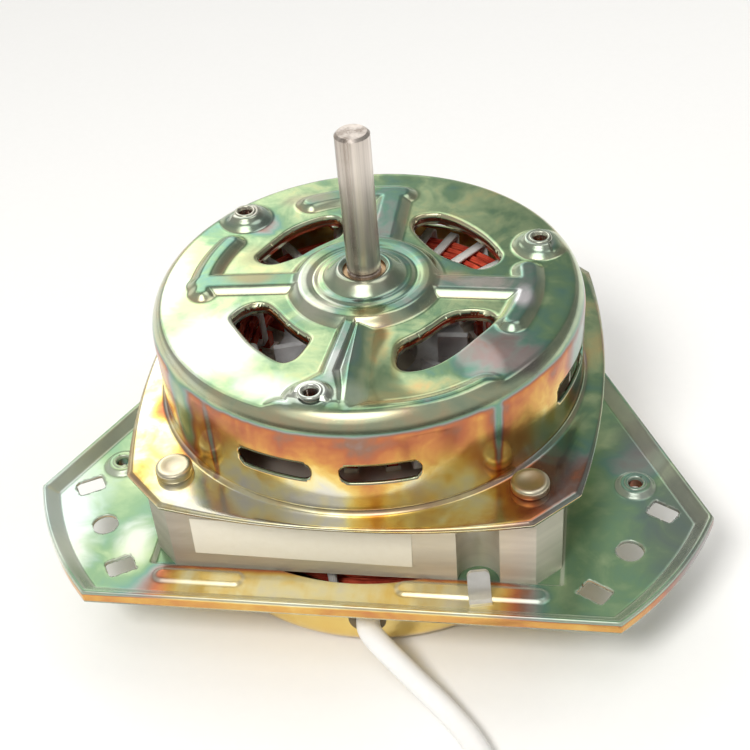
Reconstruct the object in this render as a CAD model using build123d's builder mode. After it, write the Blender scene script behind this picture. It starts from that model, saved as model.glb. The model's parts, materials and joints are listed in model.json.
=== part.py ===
from build123d import *
import os
from math import acos, cos, degrees, pi, radians, sin, tan

# Spin motor of a twin tub washing machine, in millimetres.
# The origin is on the shaft axis, on the upper face of the base plate's floor, and +Z points up the shaft.

os.makedirs("parts", exist_ok=True)

# Fits and small allowances shared by all pieces
running_gap = 0.03
slip_gap = 0.05
bolt_clearance = 0.3
seat_gap = 0.3
overrun = 1.0
full_turn = 360.0
quarter_turn = 90.0

# Shaft
shaft_r = 5.0
shaft_top = 110.0
shaft_chamfer = 0.8
shaft_flat_depth = 0.6
shaft_flat_length = 14.0
shaft_relief_depth = 0.3
shaft_relief_width = 1.0
shaft_relief_gap = 0.3

# Half the width of the square stack, which the covers, the windings and the plate follow
stack_half = 60.0

# Drawn covers
wall_margin = 4.0
wall_r = stack_half + wall_margin
cover_sheet = 1.5
shoulder_r = 8.0
flange_fillet = 2.0
panel_top = 62.0
pocket_depth = 2.0
hub_r = 23.0
hub_rise = 0.8
hub_edge = 1.6
groove_r = 14.0
groove_width = 1.6
groove_depth = 0.8
collar_foot_r = 9.6
collar_top_r = 7.9
collar_top = 66.0
collar_mouth_r = 6.3
lower_bottom = -29.5
lower_hub_rise = 2.0
well_outer_r = 9.6

# Square flange of both covers
flange_bulge = 10.5
flange_long_margin = 4.8
flange_short_inset = 7.5
bolt_inset = 9.2
flange_mid = stack_half + flange_bulge
flange_long = stack_half + flange_long_margin
flange_short = stack_half - flange_short_inset
bolt_place = stack_half - bolt_inset

# Spokes, windows and pads of the top cover
spoke_width = 8.0
spoke_angles = (-3.0, 84.0, 183.0, 264.0)
spoke_end_width = 5.0
spoke_end_length = 22.0
pocket_outer_r = 48.0
pocket_corner = 1.0
window_inner_r = 26.5
window_outer_r = 41.0
window_corner = 4.5
corner_share = 0.45
window_spans = ((14.0, 69.0), (115.5, 165.0), (201.0, 249.0), (291.0, 340.0))
window_lip = 1.2
window_lip_depth = 3.0
pad_count = 3
pad_pitch_r = 54.0
pad_first_angle = 22.5
pad_r = 6.4
pad_rise = 1.2
pad_hole_r = 2.1
pad_neck_r = 3.6
pad_neck_depth = 3.5

# Slots round the wall of the top cover
slot_pair_angle = 13.6
slot_pair_offset = -3.0
slot_length = 22.8
slot_height = 6.4
slot_centre_height = 42.8

# Stator stack
stack_corner = 7.0
stack_height = 28.0
seat_depth = 1.0
channel_inset = 23.3
channel_x = stack_half - channel_inset
channel_r = 6.1
yoke_depth = 13.6
stator_slots = 24
stator_slot_width = 4.4
stator_slot_depth = 13.0
stator_mouth_depth = 2.4
stator_slot_outer = stack_half - yoke_depth
stator_slot_inner = stator_slot_outer - stator_slot_depth
bore_r = stator_slot_inner - stator_mouth_depth
stator_mouth_width = 2.2
liner_wall = 0.3
liner_gap = 0.1
liner_reach = 1.5
wedge_depth = 1.0
conductor_width = 2.8
conductor_reach = 6.0

# Winding heads
wire_d = 2.2
wire_pitch = 3.0
winding_bore_margin = 5.5
winding_inner_r = bore_r + winding_bore_margin
winding_turns = 5
winding_layers = 4
winding_samples = 12
lacing_count = 12
lacing_width = 2.4
lacing_wall = 0.9
lacing_gap = 0.35

# Rotor
air_gap = 0.3
rotor_bore_gap = 0.05
cage_inner_r = 14.0
cage_outer_inset = 1.2
cage_ring_height = 7.0
cage_bars = 30
cage_bar_r = 1.5
cage_bar_pitch_inset = 3.4
fin_count = 11
fin_width = 2.0
fin_height = 7.5
fin_length = 9.0

# Bearings
bush_outer_r = 7.5
bush_length = 13.0
cup_hub_margin = 3.4
cup_flange_width = 1.4
cup_flange_r = hub_r - cup_hub_margin
cup_outer_r = cup_flange_r - cup_flange_width
cup_wall = 1.2
cup_hole_r = 6.9
felt_gap = 0.4
felt_bore_gap = 0.4
washer_r = 6.6
washer_thickness = 0.5
washer_count = 2
circlip_r = 6.4
circlip_thickness = 1.0
circlip_depth = 0.6
slinger_r = 12.5
slinger_thickness = 1.0
slinger_hub_r = 7.0
slinger_hub_height = 3.0
thrust_pad_thickness = 0.8

# Base plate
plate_sheet = 1.5
plate_lip_rise = 3.3
plate_lip_flare = 3.6
lobe_margin = 48.4
front_margin = 16.4
side_margin = 18.2
lobe_r = stack_half + lobe_margin
front_edge = stack_half + front_margin
side_edge = stack_half + side_margin
side_normal_angle = 26.0
plate_opening_gap = 0.3
wing_hole_r = 4.0
wing_hole_inset = 16.9
wing_hole_pitch_r = lobe_r - wing_hole_inset
wing_window_offset = 19.2
wing_window_length = 8.4
wing_window_width = 6.4
wing_angles = (-30.0, 90.0, 210.0)
boss_inset = 25.4
boss_pitch_r = lobe_r - boss_inset
boss_angles = (-13.0, 193.0)
boss_r = 5.8
boss_rise = 1.4
boss_draft = 12.0
boss_hole_r = 2.1

# Fasteners
bolt_shank_r = 2.4
bolt_head_r = 5.4
bolt_head_height = 2.9
bolt_head_round = 0.7
nut_flats = 8.0
nut_height = 4.0
spring_washer_r = 4.2
spring_washer_thickness = 1.0
bolt_end = 2.0

# Label and earth tab
label_length = 64.0
label_height = 14.0
label_thickness = 0.3
label_middle_x = -14.0
label_middle_z = 11.6
label_tilt = -1.2
tab_width = 6.4
tab_thickness = 1.0
tab_foot = 2.6
tab_height = 8.5
tab_lean = 3.6
tab_setback = 10.0
tab_offset = 1.5
tab_turn = 12.0
tab_corner_r = 1.6

# Cable
cable_d = 7.0
cable_exit_angle = -86.4
cable_exit_drop = 14.5
grommet_lip_r = 5.6
grommet_lip = 1.2
grommet_groove_r = 4.8
tie_width = 1.6
tie_setback = 0.6
tie_wall = 1.0
inner_lead_d = 1.6
inner_lead_spacing = 2.1
inner_lead_bend = 2.6
inner_lead_run = 7.0
splice_d = 3.0
splice_length = 9.0
coil_step = 8.0
coil_r = 39.0
coil_centre_x = 86.0
coil_centre_y = -147.0
coil_halves = 3
coil_end_step = 6.0
coil_samples = 24
arc_share = 0.45
tail_d = 2.4
tail_gap = 0.5
tip_d = 1.2
tip_length = 5.0

# Levels worked out from the sizes above
stack_bottom = -seat_depth
stack_top = stack_bottom + stack_height
flange_top = stack_top + cover_sheet
lower_flange_top = stack_bottom - plate_sheet
lower_flange_bottom = lower_flange_top - cover_sheet
wall_inner_r = wall_r - cover_sheet
pocket_top = panel_top - pocket_depth
hub_top = panel_top + hub_rise
lower_inner = lower_bottom + cover_sheet
lower_hub_outer = lower_bottom + lower_hub_rise
lower_hub_inner = lower_hub_outer + cover_sheet
upper_bush_top = collar_top - cover_sheet
upper_bush_bottom = upper_bush_top - bush_length
lower_bush_bottom = lower_inner
lower_bush_top = lower_bush_bottom + bush_length
seat_r = bush_outer_r + slip_gap
shaft_bottom = lower_inner + thrust_pad_thickness + seat_gap
rotor_r = bore_r - air_gap
winding_lift = conductor_reach + seat_gap
winding_height = (winding_layers - 1) * wire_pitch + wire_d
winding_outer_r = winding_inner_r + winding_turns * wire_pitch
floor_level = lower_bottom


def finish(holder, name):
    """Label a piece and write its file."""
    holder.part.label = name
    export_step(holder.part, f"parts/{name}.step")


def polar(radius, angle, height=0):
    """A point at a radius and an angle in degrees."""
    return (radius * cos(radians(angle)), radius * sin(radians(angle)), height)


def flange_outline():
    """Rounded square with bulging sides and cut corners."""
    for turn in range(4):
        spin = Rotation(0, 0, turn * quarter_turn)
        corner_a = (spin * Pos(-flange_short, -flange_long)).position
        middle = (spin * Pos(0, -flange_mid)).position
        corner_b = (spin * Pos(flange_short, -flange_long)).position
        corner_c = (spin * Pos(flange_long, -flange_short)).position
        ThreePointArc(corner_a, middle, corner_b)
        Line(corner_b, corner_c)


def lobe_outline(inset):
    """Plate outline: a circle cut by a front edge and two side edges, drawn in by an inset."""
    radius = lobe_r - inset
    normals = (-quarter_turn, side_normal_angle, 2 * quarter_turn - side_normal_angle)
    edges = (front_edge - inset, side_edge - inset, side_edge - inset)
    halves = [degrees(acos(edge / radius)) for edge in edges]
    for here in range(3):
        there = (here + 1) % 3
        start = normals[here] - halves[here]
        end = normals[here] + halves[here]
        after = normals[there] - halves[there]
        after += full_turn if after < end else 0
        Line(polar(radius, start), polar(radius, end))
        ThreePointArc(polar(radius, end), polar(radius, (end + after) / 2), polar(radius, after))


def sector_sketch(inner_r, outer_r, first, last, corner):
    """Ring sector with rounded corners."""
    with BuildSketch(mode=Mode.PRIVATE) as sector:
        with BuildLine():
            middle = (first + last) / 2
            ThreePointArc(polar(outer_r, first), polar(outer_r, middle), polar(outer_r, last))
            Line(polar(outer_r, last), polar(inner_r, last))
            ThreePointArc(polar(inner_r, last), polar(inner_r, middle), polar(inner_r, first))
            Line(polar(inner_r, first), polar(outer_r, first))
        make_face()
        fillet(sector.vertices(), min(corner, corner_share * (outer_r - inner_r)))
    return sector.sketch


def spoke_bars(first_r, last_r, width, end_width, end_length):
    """The spokes between the hub and the rim, with a crossbar at the outer end."""
    length = last_r - first_r
    for angle in spoke_angles:
        with Locations(Rotation(0, 0, angle) * Pos(first_r + length / 2, 0)):
            Rectangle(length, width)
        with Locations(Rotation(0, 0, angle) * Pos(last_r - end_width / 2, 0)):
            Rectangle(end_width, end_length)


# Top cover: wall, shoulder, raised hub and collar, revolved
shoulder_start = panel_top - shoulder_r
with BuildPart() as top_cover:
    with BuildSketch(Plane.XZ):
        with BuildLine():
            Polyline(
                (collar_mouth_r, collar_top),
                (collar_top_r, collar_top),
                (collar_foot_r, hub_top),
                (groove_r - groove_width / 2, hub_top),
                (groove_r, hub_top - groove_depth),
                (groove_r + groove_width / 2, hub_top),
                (hub_r - hub_edge, hub_top),
                (hub_r, panel_top),
                (wall_r - shoulder_r, panel_top),
            )
            RadiusArc((wall_r - shoulder_r, panel_top), (wall_r, shoulder_start), shoulder_r)
            Line((wall_r, shoulder_start), (wall_r, flange_top + flange_fillet))
            RadiusArc(
                (wall_r, flange_top + flange_fillet),
                (wall_r + flange_fillet, flange_top),
                -flange_fillet,
            )
            Polyline(
                (wall_r + flange_fillet, flange_top),
                (wall_r + flange_fillet, stack_top),
                (wall_inner_r, stack_top),
                (wall_inner_r, shoulder_start),
            )
            RadiusArc(
                (wall_inner_r, shoulder_start),
                (wall_r - shoulder_r, panel_top - cover_sheet),
                -(shoulder_r - cover_sheet),
            )
            Polyline(
                (wall_r - shoulder_r, panel_top - cover_sheet),
                (hub_r, panel_top - cover_sheet),
                (seat_r, panel_top - cover_sheet),
                (seat_r, upper_bush_top),
                (collar_mouth_r, upper_bush_top),
                (collar_mouth_r, collar_top),
            )
        make_face()
    revolve(axis=Axis.Z)
    with BuildSketch(Plane.XY.offset(stack_top)) as flange_sketch:
        with BuildLine():
            flange_outline()
        make_face()
        Circle(wall_r, mode=Mode.SUBTRACT)
    extrude(amount=cover_sheet)
    # Pockets between the spokes, pressed down from the panel
    with BuildSketch(Plane.XY.offset(pocket_top - cover_sheet)):
        Circle(pocket_outer_r + cover_sheet)
        Circle(hub_r - cover_sheet, mode=Mode.SUBTRACT)
    extrude(amount=pocket_depth)
    with BuildSketch(Plane.XY.offset(pocket_top)) as pocket_sketch:
        Circle(pocket_outer_r)
        Circle(hub_r, mode=Mode.SUBTRACT)
        with BuildSketch(mode=Mode.SUBTRACT):
            spoke_bars(hub_r - overrun, pocket_outer_r + overrun, spoke_width, spoke_end_width,
                       spoke_end_length)
        fillet(pocket_sketch.vertices(), pocket_corner)
    extrude(amount=pocket_depth + overrun, mode=Mode.SUBTRACT)
    # Lips turned down round the windows, then the windows themselves
    for first, last in window_spans:
        spread = degrees(window_lip / window_inner_r)
        with BuildSketch(Plane.XY.offset(pocket_top)):
            add(sector_sketch(window_inner_r - window_lip, window_outer_r + window_lip,
                              first - spread, last + spread, window_corner + window_lip))
        extrude(amount=-window_lip_depth)
        with BuildSketch(Plane.XY.offset(panel_top + overrun)):
            add(sector_sketch(window_inner_r, window_outer_r, first, last, window_corner))
        extrude(amount=-(pocket_depth + window_lip_depth + 2 * overrun), mode=Mode.SUBTRACT)
    # Pads with extruded and tapped holes
    with BuildSketch(Plane.XY.offset(panel_top - cover_sheet)):
        with PolarLocations(pad_pitch_r, pad_count, pad_first_angle):
            Circle(pad_r)
    extrude(amount=cover_sheet + pad_rise)
    with BuildSketch(Plane.XY.offset(panel_top - pad_neck_depth)):
        with PolarLocations(pad_pitch_r, pad_count, pad_first_angle):
            Circle(pad_neck_r)
    extrude(amount=pad_neck_depth)
    with BuildSketch(Plane.XY.offset(panel_top + pad_rise)):
        with PolarLocations(pad_pitch_r, pad_count, pad_first_angle):
            Circle(pad_hole_r)
    extrude(amount=-(pad_rise + pad_neck_depth + overrun), mode=Mode.SUBTRACT)
    # Slots in pairs round the wall
    for quarter in range(4):
        for side in (-1, 1):
            angle = quarter * quarter_turn + slot_pair_offset + side * slot_pair_angle
            slot_plane = Plane(
                origin=polar(wall_inner_r - overrun, angle, slot_centre_height),
                x_dir=polar(1, angle + quarter_turn),
                z_dir=polar(1, angle),
            )
            with BuildSketch(slot_plane):
                SlotOverall(slot_length, slot_height)
            extrude(amount=cover_sheet + 3 * overrun, mode=Mode.SUBTRACT)
    with BuildSketch(Plane.XY.offset(flange_top)):
        with GridLocations(2 * bolt_place, 2 * bolt_place, 2, 2):
            Circle(bolt_shank_r + bolt_clearance)
    extrude(amount=-(cover_sheet + overrun), mode=Mode.SUBTRACT)
finish(top_cover, "top_cover")

# Lower cover: a plain drawn pan with a well for the lower bush
lower_turn = lower_bottom + shoulder_r
lower_fillet = lower_flange_bottom - flange_fillet
with BuildPart() as lower_cover:
    with BuildSketch(Plane.XZ):
        with BuildLine():
            Polyline(
                (0, lower_bottom),
                (well_outer_r, lower_bottom),
                (well_outer_r, lower_hub_outer),
                (hub_r - lower_hub_rise, lower_hub_outer),
                (hub_r, lower_bottom),
                (wall_r - shoulder_r, lower_bottom),
            )
            RadiusArc((wall_r - shoulder_r, lower_bottom), (wall_r, lower_turn), -shoulder_r)
            Line((wall_r, lower_turn), (wall_r, lower_fillet))
            RadiusArc((wall_r, lower_fillet), (wall_r + flange_fillet, lower_flange_bottom), flange_fillet)
            Polyline(
                (wall_r + flange_fillet, lower_flange_bottom),
                (wall_r + flange_fillet, lower_flange_top),
                (wall_inner_r, lower_flange_top),
                (wall_inner_r, lower_turn),
            )
            RadiusArc(
                (wall_inner_r, lower_turn),
                (wall_r - shoulder_r, lower_inner),
                shoulder_r - cover_sheet,
            )
            Polyline(
                (wall_r - shoulder_r, lower_inner),
                (hub_r, lower_inner),
                (hub_r - lower_hub_rise, lower_hub_inner),
                (seat_r, lower_hub_inner),
                (seat_r, lower_inner),
                (0, lower_inner),
                (0, lower_bottom),
            )
        make_face()
    revolve(axis=Axis.Z)
    with BuildSketch(Plane.XY.offset(lower_flange_bottom)):
        with BuildLine():
            flange_outline()
        make_face()
        Circle(wall_r, mode=Mode.SUBTRACT)
    extrude(amount=cover_sheet)
    for first, last in window_spans:
        with BuildSketch(Plane.XY.offset(lower_bottom - overrun)):
            add(sector_sketch(window_inner_r, window_outer_r, first, last, window_corner))
        extrude(amount=cover_sheet + 2 * overrun, mode=Mode.SUBTRACT)
    with BuildSketch(Plane.XY.offset(lower_flange_top)):
        with GridLocations(2 * bolt_place, 2 * bolt_place, 2, 2):
            Circle(bolt_shank_r + bolt_clearance)
    extrude(amount=-(cover_sheet + overrun), mode=Mode.SUBTRACT)
    exit_plane = Plane(
        origin=polar(wall_inner_r - overrun, cable_exit_angle, -cable_exit_drop),
        x_dir=polar(1, cable_exit_angle + quarter_turn),
        z_dir=polar(1, cable_exit_angle),
    )
    with BuildSketch(exit_plane):
        Circle(grommet_groove_r + slip_gap)
    extrude(amount=cover_sheet + 3 * overrun, mode=Mode.SUBTRACT)
finish(lower_cover, "lower_cover")

# Base plate: three-lobed tray, flared lip, seat for the stack, holes and bosses
seat_half = stack_half + seat_gap
with BuildPart() as base_plate:
    for level, inset in ((-plate_sheet, plate_lip_flare), (plate_lip_rise, 0)):
        with BuildSketch(Plane.XY.offset(level)):
            with BuildLine():
                lobe_outline(inset)
            make_face()
    loft(ruled=True)
    for level, inset in ((0, plate_lip_flare + plate_sheet), (plate_lip_rise, plate_sheet)):
        with BuildSketch(Plane.XY.offset(level)):
            with BuildLine():
                lobe_outline(inset)
            make_face()
    loft(ruled=True, mode=Mode.SUBTRACT)
    with BuildSketch(Plane.XY.offset(stack_bottom - plate_sheet)) as seat_outer:
        Rectangle(2 * (seat_half + plate_sheet), 2 * (seat_half + plate_sheet))
        chamfer(seat_outer.vertices(), stack_corner + plate_sheet)
    extrude(amount=plate_sheet + seat_depth / 2)
    with BuildSketch(Plane.XY.offset(stack_bottom)) as seat_inner:
        Rectangle(2 * seat_half, 2 * seat_half)
        chamfer(seat_inner.vertices(), stack_corner)
    extrude(amount=seat_depth + plate_lip_rise + overrun, mode=Mode.SUBTRACT)
    with BuildSketch(Plane.XY.offset(0)):
        with Locations([Pos(*polar(boss_pitch_r, angle)) for angle in boss_angles]):
            Circle(boss_r)
    extrude(amount=boss_rise, taper=boss_draft)
    with BuildSketch(Plane.XY.offset(boss_rise + overrun)):
        Circle(wall_r + plate_opening_gap)
        with Locations([Pos(*polar(boss_pitch_r, angle)) for angle in boss_angles]):
            Circle(boss_hole_r)
        with Locations([Pos(*polar(wing_hole_pitch_r, angle)) for angle in wing_angles]):
            Circle(wing_hole_r)
        for angle in wing_angles:
            for side in (-1, 1):
                with Locations(Rotation(0, 0, angle) * Pos(wing_hole_pitch_r, side * wing_window_offset)):
                    Rectangle(wing_window_length, wing_window_width)
        with GridLocations(2 * bolt_place, 2 * bolt_place, 2, 2):
            Circle(bolt_shank_r + bolt_clearance)
    extrude(amount=-(boss_rise + seat_depth + plate_sheet + 3 * overrun), mode=Mode.SUBTRACT)
finish(base_plate, "base_plate")

# Stator stack with slots, bore and a half-round channel in each side
with BuildPart() as stator_core:
    with BuildSketch(Plane.XY.offset(stack_bottom)) as stack_sketch:
        Rectangle(2 * stack_half, 2 * stack_half)
        chamfer(stack_sketch.vertices(), stack_corner)
        Circle(bore_r, mode=Mode.SUBTRACT)
        with PolarLocations(stator_slot_inner + stator_slot_depth / 2, stator_slots):
            Rectangle(stator_slot_depth, stator_slot_width, mode=Mode.SUBTRACT)
        mouth_cut = stator_mouth_depth + 2 * overrun
        with PolarLocations(stator_slot_inner + overrun - mouth_cut / 2, stator_slots):
            Rectangle(mouth_cut, stator_mouth_width, mode=Mode.SUBTRACT)
        for turn in range(4):
            with Locations(Rotation(0, 0, turn * quarter_turn) * Pos(channel_x, -stack_half)):
                Circle(channel_r, mode=Mode.SUBTRACT)
        with GridLocations(2 * bolt_place, 2 * bolt_place, 2, 2):
            Circle(bolt_shank_r + bolt_clearance, mode=Mode.SUBTRACT)
    extrude(amount=stack_height)
finish(stator_core, "stator_core")

# Paper liners, wedges and conductors, one of each in every slot
wedge_inner = stator_slot_inner + liner_gap
liner_inner = wedge_inner + wedge_depth + liner_gap
liner_outer = stator_slot_outer - liner_gap
liner_width = stator_slot_width - 2 * liner_gap
with BuildPart() as slot_liners:
    with BuildSketch(Plane.XY.offset(stack_bottom - liner_reach)):
        with PolarLocations((liner_inner + liner_outer) / 2, stator_slots):
            Rectangle(liner_outer - liner_inner, liner_width)
            Rectangle(liner_outer - liner_inner - 2 * liner_wall, liner_width - 2 * liner_wall,
                      mode=Mode.SUBTRACT)
    extrude(amount=stack_height + 2 * liner_reach)
finish(slot_liners, "slot_liners")

with BuildPart() as slot_wedges:
    with BuildSketch(Plane.XY.offset(stack_bottom - liner_reach)):
        with PolarLocations(wedge_inner + wedge_depth / 2, stator_slots):
            Rectangle(wedge_depth, liner_width)
    extrude(amount=stack_height + 2 * liner_reach)
finish(slot_wedges, "slot_wedges")

conductor_inner = liner_inner + liner_wall + liner_gap
conductor_outer = liner_outer - liner_wall - liner_gap
with BuildPart() as slot_conductors:
    with BuildSketch(Plane.XY.offset(stack_bottom - conductor_reach)):
        with PolarLocations((conductor_inner + conductor_outer) / 2, stator_slots):
            Rectangle(conductor_outer - conductor_inner, conductor_width)
    extrude(amount=stack_height + 2 * conductor_reach)
finish(slot_conductors, "slot_conductors")


def winding_points(side):
    """Ends of the half turns: each layer spirals out or in, and a climb joins it to the next."""
    start = stack_top + winding_lift + wire_d / 2
    if side < 0:
        start = stack_bottom - winding_lift - wire_d / 2
    points = []
    half_turns = 2 * winding_turns
    for layer in range(winding_layers):
        for step in range(half_turns):
            out = step if layer % 2 == 0 else half_turns - 1 - step
            radius = winding_inner_r + out * wire_pitch / 2
            hand = 1 if len(points) % 2 == 0 else -1
            points.append(Vector(hand * radius, 0, start + side * layer * wire_pitch))
    return points


def half_turn_arcs(points):
    """Middle points of the arcs that join the ends of the half turns."""
    middles = []
    for here, there in zip(points, points[1:]):
        way = 1 if here.X > there.X else -1
        middles.append((here + there) / 2 + Vector(0, way, 0) * ((there - here).length / 2))
    return middles


def sampled(points, middles, count):
    """Points along the half turns."""
    found = []
    for here, there, middle in zip(points, points[1:], middles):
        centre = (here + there) / 2
        first = here - centre
        second = middle - centre
        for step in range(count):
            angle = pi * step / count
            found.append(centre + first * cos(angle) + second * sin(angle))
    return found


def least_gap(found, per_half, wire):
    """Least distance between parts of the tube that lie more than a half turn apart."""
    least = full_turn
    for index, here in enumerate(found):
        for there in found[index + per_half:]:
            apart = (here - there).length
            least = min(least, apart)
    return least - wire


for side, name in ((1, "upper_winding_head"), (-1, "lower_winding_head")):
    ends = winding_points(side)
    arcs = half_turn_arcs(ends)
    with BuildPart() as winding:
        with BuildLine() as winding_path:
            first_end = ends[0] - Vector(0, wire_d, 0)
            Line(first_end, ends[0])
            for here, middle, there in zip(ends, arcs, ends[1:]):
                ThreePointArc(here, middle, there)
            way_out = -1 if ends[-1].X < 0 else 1
            Line(ends[-1], ends[-1] + Vector(0, way_out * wire_d, 0))
        with BuildSketch(Plane(origin=first_end, z_dir=(0, 1, 0))):
            Circle(wire_d / 2)
        sweep()
    finish(winding, name)
    clear = least_gap(sampled(ends, arcs, winding_samples), winding_samples, wire_d)
    print(name, "loops", len(arcs) / 2, "least gap", round(clear, 3))
    wire_length = winding_path.wire().length
    print(name, "volume over section times length",
          round(winding.part.volume / (pi * (wire_d / 2) ** 2 * wire_length), 4))

# Lacing: ties round each winding head, between the conductors
lace_inner_r = winding_inner_r - wire_d / 2 - lacing_gap
lace_outer_r = winding_outer_r + wire_d / 2 + lacing_gap
lace_height = winding_height + 2 * lacing_gap
lace_middle_r = (lace_inner_r + lace_outer_r) / 2
lace_first_angle = full_turn / stator_slots / 2
for side, name in ((1, "upper_lacing"), (-1, "lower_lacing")):
    middle_z = stack_top + winding_lift + winding_height / 2
    if side < 0:
        middle_z = stack_bottom - winding_lift - winding_height / 2
    with BuildPart() as lacing:
        for index in range(lacing_count):
            angle = lace_first_angle + index * full_turn / lacing_count
            tie_plane = Plane(
                origin=polar(lace_middle_r, angle, middle_z),
                x_dir=polar(1, angle),
                z_dir=polar(1, angle + quarter_turn),
            )
            with BuildSketch(tie_plane):
                RectangleRounded(lace_outer_r - lace_inner_r + 2 * lacing_wall,
                                 lace_height + 2 * lacing_wall, lacing_wall)
                Rectangle(lace_outer_r - lace_inner_r, lace_height, mode=Mode.SUBTRACT)
            extrude(amount=lacing_width / 2, both=True)
    finish(lacing, name)

# Rotor stack with holes for the cast bars
bar_pitch_r = rotor_r - cage_bar_pitch_inset
with BuildPart() as rotor_core:
    with BuildSketch(Plane.XY.offset(stack_bottom)):
        Circle(rotor_r)
        Circle(shaft_r + rotor_bore_gap, mode=Mode.SUBTRACT)
        with PolarLocations(bar_pitch_r, cage_bars):
            Circle(cage_bar_r + slip_gap, mode=Mode.SUBTRACT)
    extrude(amount=stack_height)
finish(rotor_core, "rotor_core")

# Cast cage: bars, end rings and cooling fins
cage_outer_r = rotor_r - cage_outer_inset
fin_middle_r = cage_outer_r - fin_length / 2
with BuildPart() as rotor_cage:
    with BuildSketch(Plane.XY.offset(stack_bottom)):
        with PolarLocations(bar_pitch_r, cage_bars):
            Circle(cage_bar_r)
    extrude(amount=stack_height)
    for level, way in ((stack_top, 1), (stack_bottom, -1)):
        with BuildSketch(Plane.XY.offset(level)):
            Circle(cage_outer_r)
            Circle(cage_inner_r, mode=Mode.SUBTRACT)
        extrude(amount=way * cage_ring_height)
        with BuildSketch(Plane.XY.offset(level + way * cage_ring_height)):
            with PolarLocations(fin_middle_r, fin_count):
                Rectangle(fin_length, fin_width)
        extrude(amount=way * fin_height)
finish(rotor_cage, "rotor_cage")

# Shaft with a drive flat and two circlip grooves
upper_stop = upper_bush_bottom - seat_gap - washer_count * washer_thickness
lower_stop = lower_bush_top + seat_gap + washer_count * washer_thickness
circlip_levels = (upper_stop - circlip_thickness, lower_stop)
with BuildPart() as shaft:
    with BuildSketch(Plane.XY.offset(shaft_bottom)):
        Circle(shaft_r)
    extrude(amount=shaft_top - shaft_bottom)
    chamfer(shaft.edges().filter_by(GeomType.CIRCLE), shaft_chamfer)
    with BuildSketch(Plane.XY.offset(shaft_top - shaft_flat_length)):
        with Locations((0, shaft_r - shaft_flat_depth + shaft_r / 2)):
            Rectangle(2 * shaft_r, shaft_r)
    extrude(amount=shaft_flat_length + overrun, mode=Mode.SUBTRACT)
    for level in circlip_levels:
        with BuildSketch(Plane.XY.offset(level)):
            Circle(shaft_r + overrun)
            Circle(shaft_r - circlip_depth, mode=Mode.SUBTRACT)
        extrude(amount=circlip_thickness, mode=Mode.SUBTRACT)
    # Grinding relief in the collar's mouth, at the foot of the free end
    with BuildSketch(Plane.XY.offset(collar_top + shaft_relief_gap)):
        Circle(shaft_r + overrun)
        Circle(shaft_r - shaft_relief_depth, mode=Mode.SUBTRACT)
    extrude(amount=-shaft_relief_width, mode=Mode.SUBTRACT)
finish(shaft, "shaft")

with BuildPart() as shaft_circlips:
    for level in circlip_levels:
        with BuildSketch(Plane.XY.offset(level)):
            Circle(circlip_r)
            Circle(shaft_r - circlip_depth + slip_gap, mode=Mode.SUBTRACT)
            with Locations((circlip_r, 0)):
                Rectangle(circlip_r, shaft_r / 2, mode=Mode.SUBTRACT)
        extrude(amount=circlip_thickness)
finish(shaft_circlips, "shaft_circlips")

washer_levels = {
    "upper_thrust_washers": upper_stop,
    "lower_thrust_washers": lower_bush_top + seat_gap,
}
for name, lowest in washer_levels.items():
    with BuildPart() as washers:
        for index in range(washer_count):
            with BuildSketch(Plane.XY.offset(lowest + index * washer_thickness)):
                Circle(washer_r - index * slip_gap)
                Circle(shaft_r + slip_gap, mode=Mode.SUBTRACT)
            extrude(amount=washer_thickness - slip_gap)
    finish(washers, name)

# Oil slinger pressed on the shaft under the upper circlip
slinger_top = upper_stop - circlip_thickness - slip_gap
with BuildPart() as oil_slinger:
    with BuildSketch(Plane.XY.offset(slinger_top - slinger_thickness)):
        Circle(slinger_r)
        Circle(shaft_r + slip_gap, mode=Mode.SUBTRACT)
    extrude(amount=slinger_thickness)
    with BuildSketch(Plane.XY.offset(slinger_top - slinger_thickness - slinger_hub_height)):
        Circle(slinger_hub_r)
        Circle(shaft_r + slip_gap, mode=Mode.SUBTRACT)
    extrude(amount=slinger_hub_height)
finish(oil_slinger, "oil_slinger")

# Sintered bushes
for name, bottom in (("upper_bearing", upper_bush_bottom), ("lower_bearing", lower_bush_bottom)):
    with BuildPart() as bush:
        with BuildSketch(Plane.XY.offset(bottom)):
            Circle(bush_outer_r)
            Circle(shaft_r + running_gap, mode=Mode.SUBTRACT)
        extrude(amount=bush_length)
    finish(bush, name)

# Bearing cups: a flanged ring staked under each hub that holds the felt and the free end of the bush
upper_cup_top = panel_top - cover_sheet
upper_cup_bottom = upper_bush_bottom - cup_wall
lower_cup_top = lower_bush_top + cup_wall
cup_levels = (
    ("upper", upper_cup_top, upper_cup_bottom, 1),
    ("lower", lower_hub_inner, lower_cup_top, -1),
)
for name, seat, closed, way in cup_levels:
    with BuildPart() as cup:
        with BuildSketch(Plane.XY.offset(seat)):
            Circle(cup_outer_r)
        extrude(amount=closed - seat)
        with BuildSketch(Plane.XY.offset(seat)):
            Circle(cup_flange_r)
        extrude(amount=-way * cup_wall)
        with BuildSketch(Plane.XY.offset(seat + way * overrun)):
            Circle(cup_outer_r - cup_wall)
        extrude(amount=closed - seat + way * (cup_wall - overrun), mode=Mode.SUBTRACT)
        with BuildSketch(Plane.XY.offset(closed + way * (cup_wall + overrun))):
            Circle(cup_hole_r)
        extrude(amount=-way * (cup_wall + 2 * overrun), mode=Mode.SUBTRACT)
    finish(cup, f"{name}_bearing_cup")
    with BuildPart() as felt:
        with BuildSketch(Plane.XY.offset(closed + way * (cup_wall + felt_gap))):
            Circle(cup_outer_r - cup_wall - felt_gap)
            Circle(bush_outer_r + felt_bore_gap, mode=Mode.SUBTRACT)
        extrude(amount=seat - closed - way * (cup_wall + 2 * felt_gap))
    finish(felt, f"{name}_oil_felt")

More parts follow.
